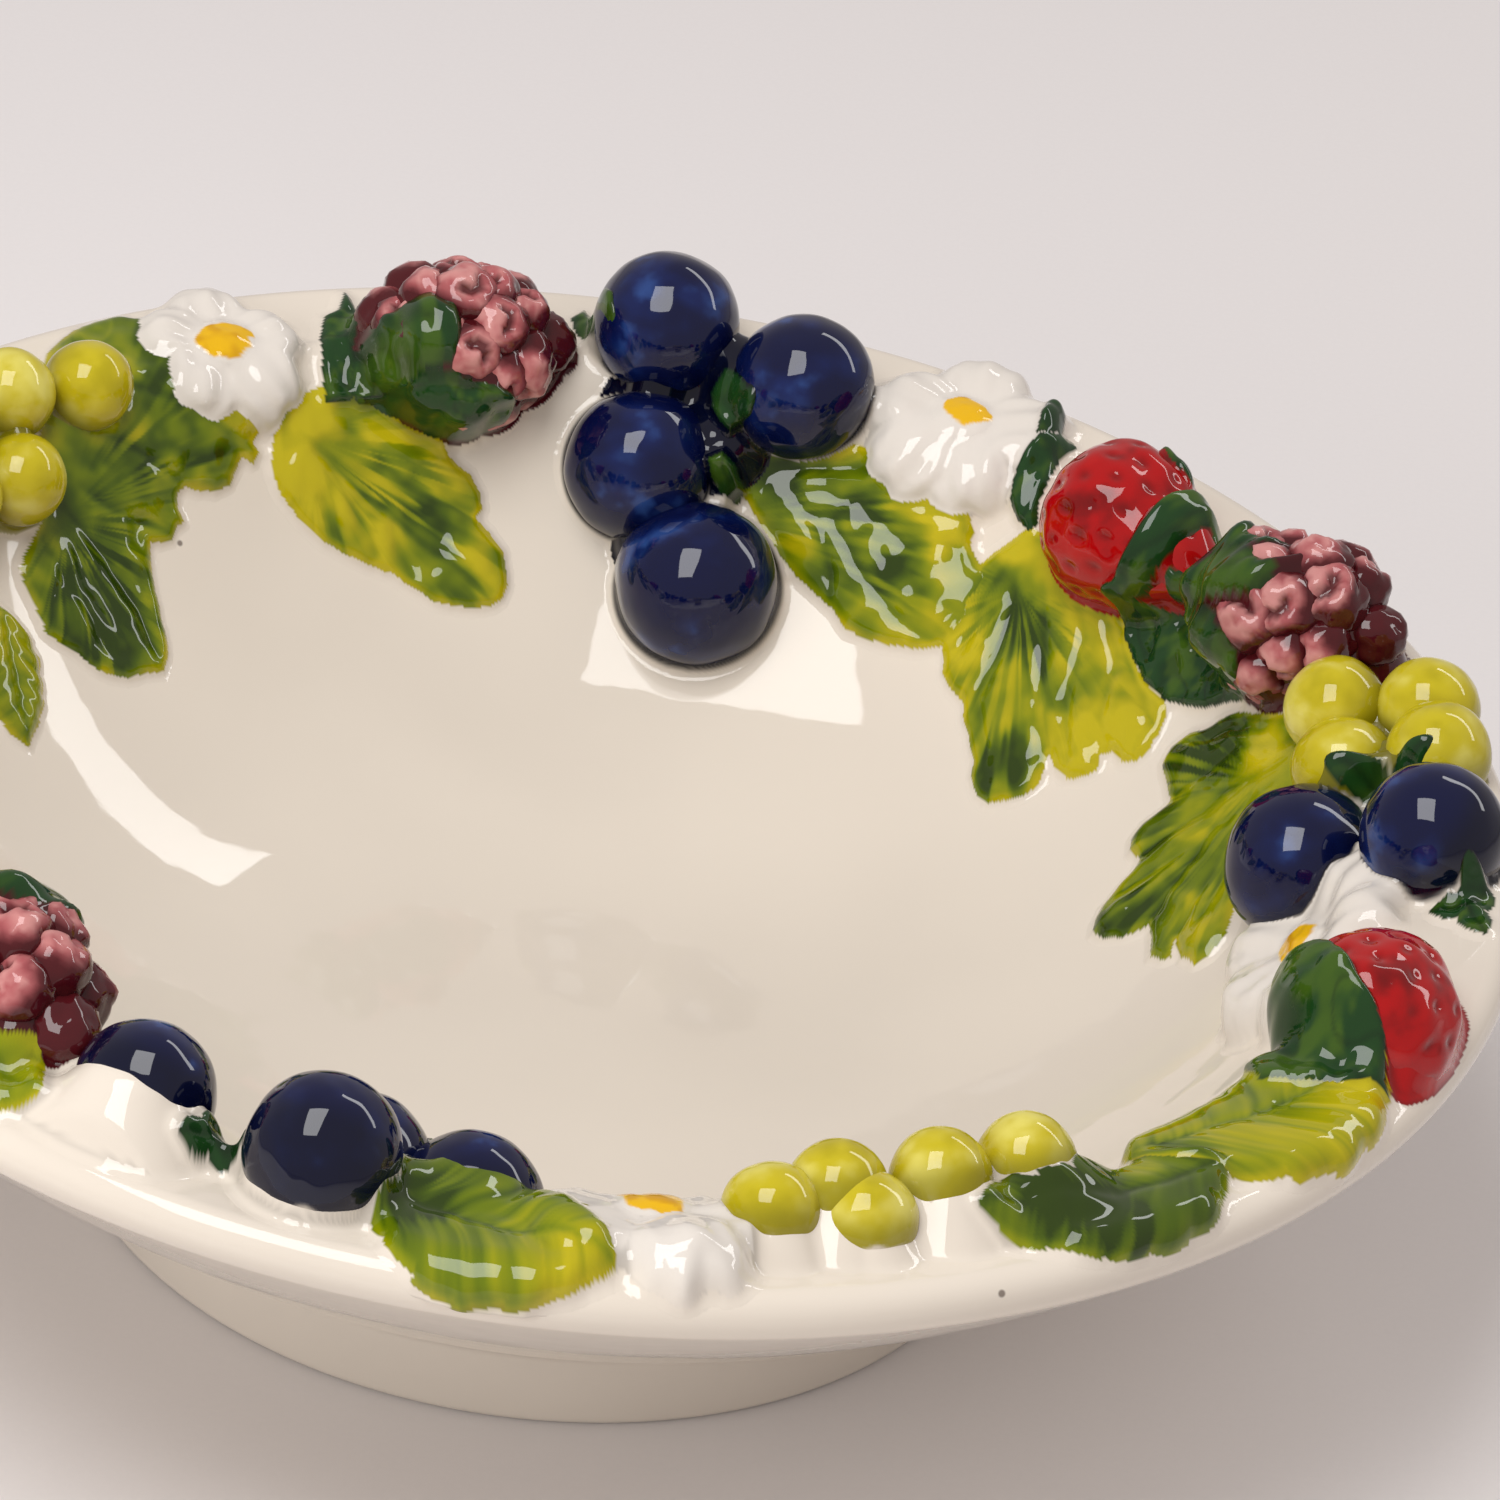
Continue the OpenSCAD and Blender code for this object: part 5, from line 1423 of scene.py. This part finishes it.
# %% The bowl
top_line = [tuple(p) for p in line_p[:lip_top:3]]
lip_line = [tuple(p) for p in arc(lip_c, lip_r, math.radians(88), lip_end, 26)[0]]
belly_line = [tuple(p) for p in arc(belly_c, belly_r, lip_end, belly_start, 60)[0]][1:]
floor_line = [(0, floor_h), (floor_r * 0.5, floor_h)]
under_h = floor_h - floor_t
under_line = [
    (foot_top[0] - 3, foot_h - 0.6), (foot_r - foot_wall + 1, under_h + 0.2),
    (foot_r - foot_wall - 3, under_h), (0, under_h),
]
bowl = spin("bowl", floor_line + top_line + lip_line + belly_line + under_line)
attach(bowl, "root")
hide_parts("bowl_body")

# %% [markdown]
# ## The foot ring
# A ring with rounded edges on which the bowl stands, a little wider at its top, where it runs into the
# belly.

# %% The foot ring


def rounded(corners, radii, steps=8):
    """Outline with each corner rounded."""
    out = []
    n = len(corners)
    for i, (c, r) in enumerate(zip(corners, radii)):
        c = np.array(c, float)
        a, b = np.array(corners[i - 1], float) - c, np.array(corners[(i + 1) % n], float) - c
        a, b = a / np.linalg.norm(a), b / np.linalg.norm(b)
        if r <= 0:
            out.append(tuple(c))
            continue
        half = math.acos(np.clip(a @ b, -1, 1)) / 2
        cut = r / math.tan(half)
        p, q = c + a * cut, c + b * cut
        for k in range(steps + 1):
            t = k / steps
            out.append(tuple((1 - t) ** 2 * p + 2 * t * (1 - t) * c + t**2 * q))
    return out


foot_in = foot_r - foot_wall
foot_corners = [
    (foot_in, 0), (foot_r, 0), (foot_top[0] - 0.2, foot_h - 1.5), (foot_top[0] + 2.4, foot_h + 1.2),
    (foot_in + 4, foot_h), (foot_in, foot_h - 2),
]
foot_outline = rounded(foot_corners, [2, 2.2, 3, 0, 0, 0])
foot = spin("foot", foot_outline)
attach(foot, "root")
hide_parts("foot_ring")
print("bowl", len(bowl.data.polygons), "faces, foot", len(foot.data.polygons))

# %% [markdown]
# ## Glaze
# Every finish is the same body: earthenware with colour under a thick clear glaze. The body scatters
# light softly, so it is rough; the clear coat over it is glass, with an IOR of about 1.5, and gives the
# sharp reflections of the lamps. The coat isn't quite flat: it has slow waves about a centimetre apart. A
# few pinholes stay where gas broke through.

# %% A node with its settings


def node(tree, kind, settings=None, links=None):
    """Adds a node, sets its values and joins its inputs to (node, output) pairs."""
    n = tree.nodes.new(kind)
    for key, value in (settings or {}).items():
        if isinstance(key, int) or key in n.inputs:
            n.inputs[key].default_value = value
        else:
            setattr(n, key, value)
    for key, (source, output) in (links or {}).items():
        tree.links.new(source.outputs[output], n.inputs[key])
    return n

# %% Paint under glaze
# sizes of the patterns in mm: specks of the body, clouds in the colour, room for a pinhole, waves of the coat
speck_size, cloud_size, pinhole_room, wave_size = 4.545, 71.43, 23.81, 10.53


def per_metre(size):
    """Scale of a pattern whose cells have this size in mm."""
    return 1 / (size * MM)


def glaze(name, roughness, wave, painted):
    """Painted earthenware under clear glaze."""
    mat = bpy.data.materials.new(name)
    mat.use_nodes = True
    tree = mat.node_tree
    tree.nodes.clear()
    place = {"Vector": (node(tree, "ShaderNodeTexCoord"), "Object")}
    cloud = node(tree, "ShaderNodeTexNoise", {"Scale": per_metre(cloud_size), "Detail": 2}, place)
    vary = node(
        tree, "ShaderNodeMapRange", {"From Min": 0.3, "From Max": 0.7, "To Min": 0.955, "To Max": 1.03},
        {"Value": (cloud, "Fac")},
    )
    toned = node(tree, "ShaderNodeHueSaturation", {"Color": (*IVORY, 1)}, {"Value": (vary, "Result")})
    if painted:
        paint_cells = node(tree, "ShaderNodeAttribute", {"attribute_name": "paint"})
        tree.links.new(paint_cells.outputs["Color"], toned.inputs["Color"])
    # one in seven cells holds a dark pinhole
    pin = node(tree, "ShaderNodeTexVoronoi", {"Scale": per_metre(pinhole_room), "Randomness": 1.0}, place)
    hole = node(
        tree, "ShaderNodeMapRange", {"From Min": 0.018, "From Max": 0.03, "To Min": 1.0, "To Max": 0.0},
        {"Value": (pin, "Distance")},
    )
    split = node(tree, "ShaderNodeSeparateColor", {}, {"Color": (pin, "Color")})
    chosen = node(tree, "ShaderNodeMath", {"operation": "GREATER_THAN", 1: 0.86}, {0: (split, "Red")})
    amount = node(tree, "ShaderNodeMath", {"operation": "MULTIPLY"}, {0: (hole, "Result"), 1: (chosen, 0)})
    share = node(tree, "ShaderNodeMath", {"operation": "MULTIPLY", 1: 0.75}, {0: (amount, 0)})
    pinned = node(
        tree, "ShaderNodeMix", {"data_type": "RGBA", 7: (*srgb("503F35"), 1)},
        {0: (share, 0), 6: (toned, "Color")},
    )
    waves = node(tree, "ShaderNodeTexNoise", {"Scale": per_metre(wave_size), "Detail": 1.5}, place)
    bump = node(tree, "ShaderNodeBump", {"Strength": wave, "Distance": 0.004}, {"Height": (waves, "Fac")})
    specks = node(
        tree, "ShaderNodeTexNoise", {"Scale": per_metre(speck_size), "Detail": 3, "Roughness": 0.6}, place
    )
    rough = node(
        tree, "ShaderNodeMapRange", {"To Min": roughness - 0.06, "To Max": roughness + 0.06},
        {"Value": (specks, "Fac")},
    )
    body = node(
        tree, "ShaderNodeBsdfPrincipled",
        {
            "IOR": 1.5, "Specular IOR Level": 0.0,
            "Coat Weight": 1.0, "Coat Roughness": 0.035, "Coat IOR": 1.48,
        },
        {
            "Base Color": (pinned, 2), "Roughness": (rough, "Result"),
            "Coat Normal": (bump, "Normal"), "Normal": (bump, "Normal"),
        },
    )
    node(tree, "ShaderNodeOutputMaterial", {}, {"Surface": (body, "BSDF")})
    return mat

# %% The finishes
# name, roughness of the body, strength of the waves in the coat and whether it is painted
FINISHES = {
    "ivory_glaze": ("Ivory glazed earthenware", 0.36, 0.02, False),
    "cobalt_glaze": ("Cobalt painted glazed earthenware", 0.3, 0.05, True),
    "grape_glaze": ("Yellow green painted glazed earthenware", 0.3, 0.05, True),
    "leaf_glaze": ("Leaf green brushed glazed earthenware", 0.3, 0.08, True),
    "dark_green_glaze": ("Dark green brushed glazed earthenware", 0.3, 0.08, True),
    "strawberry_glaze": ("Red painted glazed earthenware", 0.28, 0.06, True),
    "bramble_glaze": ("Rose painted glazed earthenware", 0.3, 0.06, True),
    "blossom_glaze": ("White glazed earthenware", 0.34, 0.04, True),
    "yellow_glaze": ("Yellow dabbed glazed earthenware", 0.34, 0.06, True),
}
GLAZES = {slot: glaze(*row) for slot, row in FINISHES.items()}
dipped = [(piece, slot_of(name)) for name, piece in sprigs.items()]
for piece, slot in dipped + [(bowl, "ivory_glaze"), (foot, "ivory_glaze")]:
    piece.data.materials.clear()
    piece.data.materials.append(GLAZES[slot])
print("glazes", len(GLAZES))

# %% [markdown]
# ## The table
# Pale seamless paper, rough and a little uneven, so that the bowl's shadow lies on it and nothing else
# shows.

# %% The table
grain_size = 1.111
bpy.ops.mesh.primitive_plane_add(size=8, location=(0, 0, 0))
table = bpy.context.object
table.name = "table"
table.select_set(False)
paper = bpy.data.materials.new("Pale seamless paper")
paper.use_nodes = True
tree = paper.node_tree
tree.nodes.clear()
spot = node(tree, "ShaderNodeTexCoord")
grain = node(
    tree, "ShaderNodeTexNoise", {"Scale": per_metre(grain_size), "Detail": 2}, {"Vector": (spot, "Object")}
)
tone = node(tree, "ShaderNodeMapRange", {"To Min": 0.985, "To Max": 1.015}, {"Value": (grain, "Fac")})
pale = node(tree, "ShaderNodeHueSaturation", {"Color": (*srgb("E5E1E0"), 1)}, {"Value": (tone, "Result")})
sheet = node(
    tree, "ShaderNodeBsdfPrincipled", {"Roughness": 0.7, "Specular IOR Level": 0.25},
    {"Base Color": (pale, "Color")},
)
node(tree, "ShaderNodeOutputMaterial", {}, {"Surface": (sheet, "BSDF")})
table.data.materials.append(paper)

# %% [markdown]
# ## The light
# The room is an even pale grey. A large softbox high up on the left makes the bright panes on the glaze.
# A low one at the front left lifts the foot and the near rim, and is kept out of the reflections, since
# the glaze shows none of it. A narrow strip at the back right draws the thin lines on the berries.

# %% The light
world = bpy.data.worlds.new("room")
bpy.context.scene.world = world
world.use_nodes = True
room = world.node_tree.nodes["Background"]
room.inputs["Color"].default_value = (*srgb("C9C2C0"), 1)
room.inputs["Strength"].default_value = 0.74


def posed(x, y, z, place):
    """Matrix of an object at a place whose own axes point along x, y and z."""
    return Matrix([[x[i], y[i], z[i], place[i]] for i in range(3)] + [[0, 0, 0, 1]])


def towards(az, el):
    """Direction with this azimuth and elevation in degrees."""
    a, e = math.radians(az), math.radians(el)
    return np.array([math.cos(e) * math.cos(a), math.cos(e) * math.sin(a), math.sin(e)])


def softbox(name, one_end, other_end, distance, width, power, target=(0, 0, 0.06)):
    """A rectangular lamp between two directions (azimuth, elevation) that faces the target."""
    ends = [distance * towards(*end) for end in (one_end, other_end)]
    middle = (ends[0] + ends[1]) / 2
    facing = middle / np.linalg.norm(middle)
    long_side = ends[1] - ends[0]
    lamp = bpy.data.lights.new(name, "AREA")
    lamp.shape = "RECTANGLE"
    lamp.size, lamp.size_y = float(np.linalg.norm(long_side)), width
    lamp.energy = power
    obj = bpy.data.objects.new(name, lamp)
    bpy.context.scene.collection.objects.link(obj)
    x = long_side - facing * (long_side @ facing)
    x = x / np.linalg.norm(x)
    obj.matrix_world = posed(x, np.cross(facing, x), facing, middle + np.array(target))
    return obj


softbox("main softbox", (173.5, 78.4), (247, 49.7), distance=1.15, width=0.54, power=7.7)
fill = softbox("front fill", (200, 17), (255, 17), distance=1.5, width=0.5, power=6)
fill.visible_glossy = False
strip_target = (-0.08, 0.055, 0.03)
softbox("strip softbox", (12, 24), (66, 46), distance=1.3, width=0.12, power=2.2, target=strip_target)

# %% [markdown]
# ## The camera
# A long lens that looks down at the near rim from the front. Its distance, its height and its small
# turns were fitted to the rim and the foot of the photographed bowl, which stands a little tilted in its
# picture.

# %% The camera
cam = bpy.data.cameras.new("camera")
cam.lens, cam.sensor_width = 180, 36
camera = bpy.data.objects.new("camera", cam)
bpy.context.scene.collection.objects.link(camera)
bpy.context.scene.camera = camera
distance, elevation, pan, tilt, roll = 1226.84, 34.626, 1.242, 3.187, 7.524


def turned(a, b, degrees):
    """Two directions at right angles, turned together from a towards b."""
    t = math.radians(degrees)
    return math.cos(t) * a + math.sin(t) * b, math.cos(t) * b - math.sin(t) * a


stand = distance * np.array([0, -math.cos(math.radians(elevation)), math.sin(math.radians(elevation))])
forward = -stand / np.linalg.norm(stand)
right = np.array([1.0, 0, 0])
up = np.cross(right, forward)
forward, right = turned(forward, right, pan)
forward, up = turned(forward, up, tilt)
right, up = turned(right, up, roll)
camera.matrix_world = posed(right, up, -forward, stand * MM)
bpy.context.scene.view_settings.view_transform = "Standard"
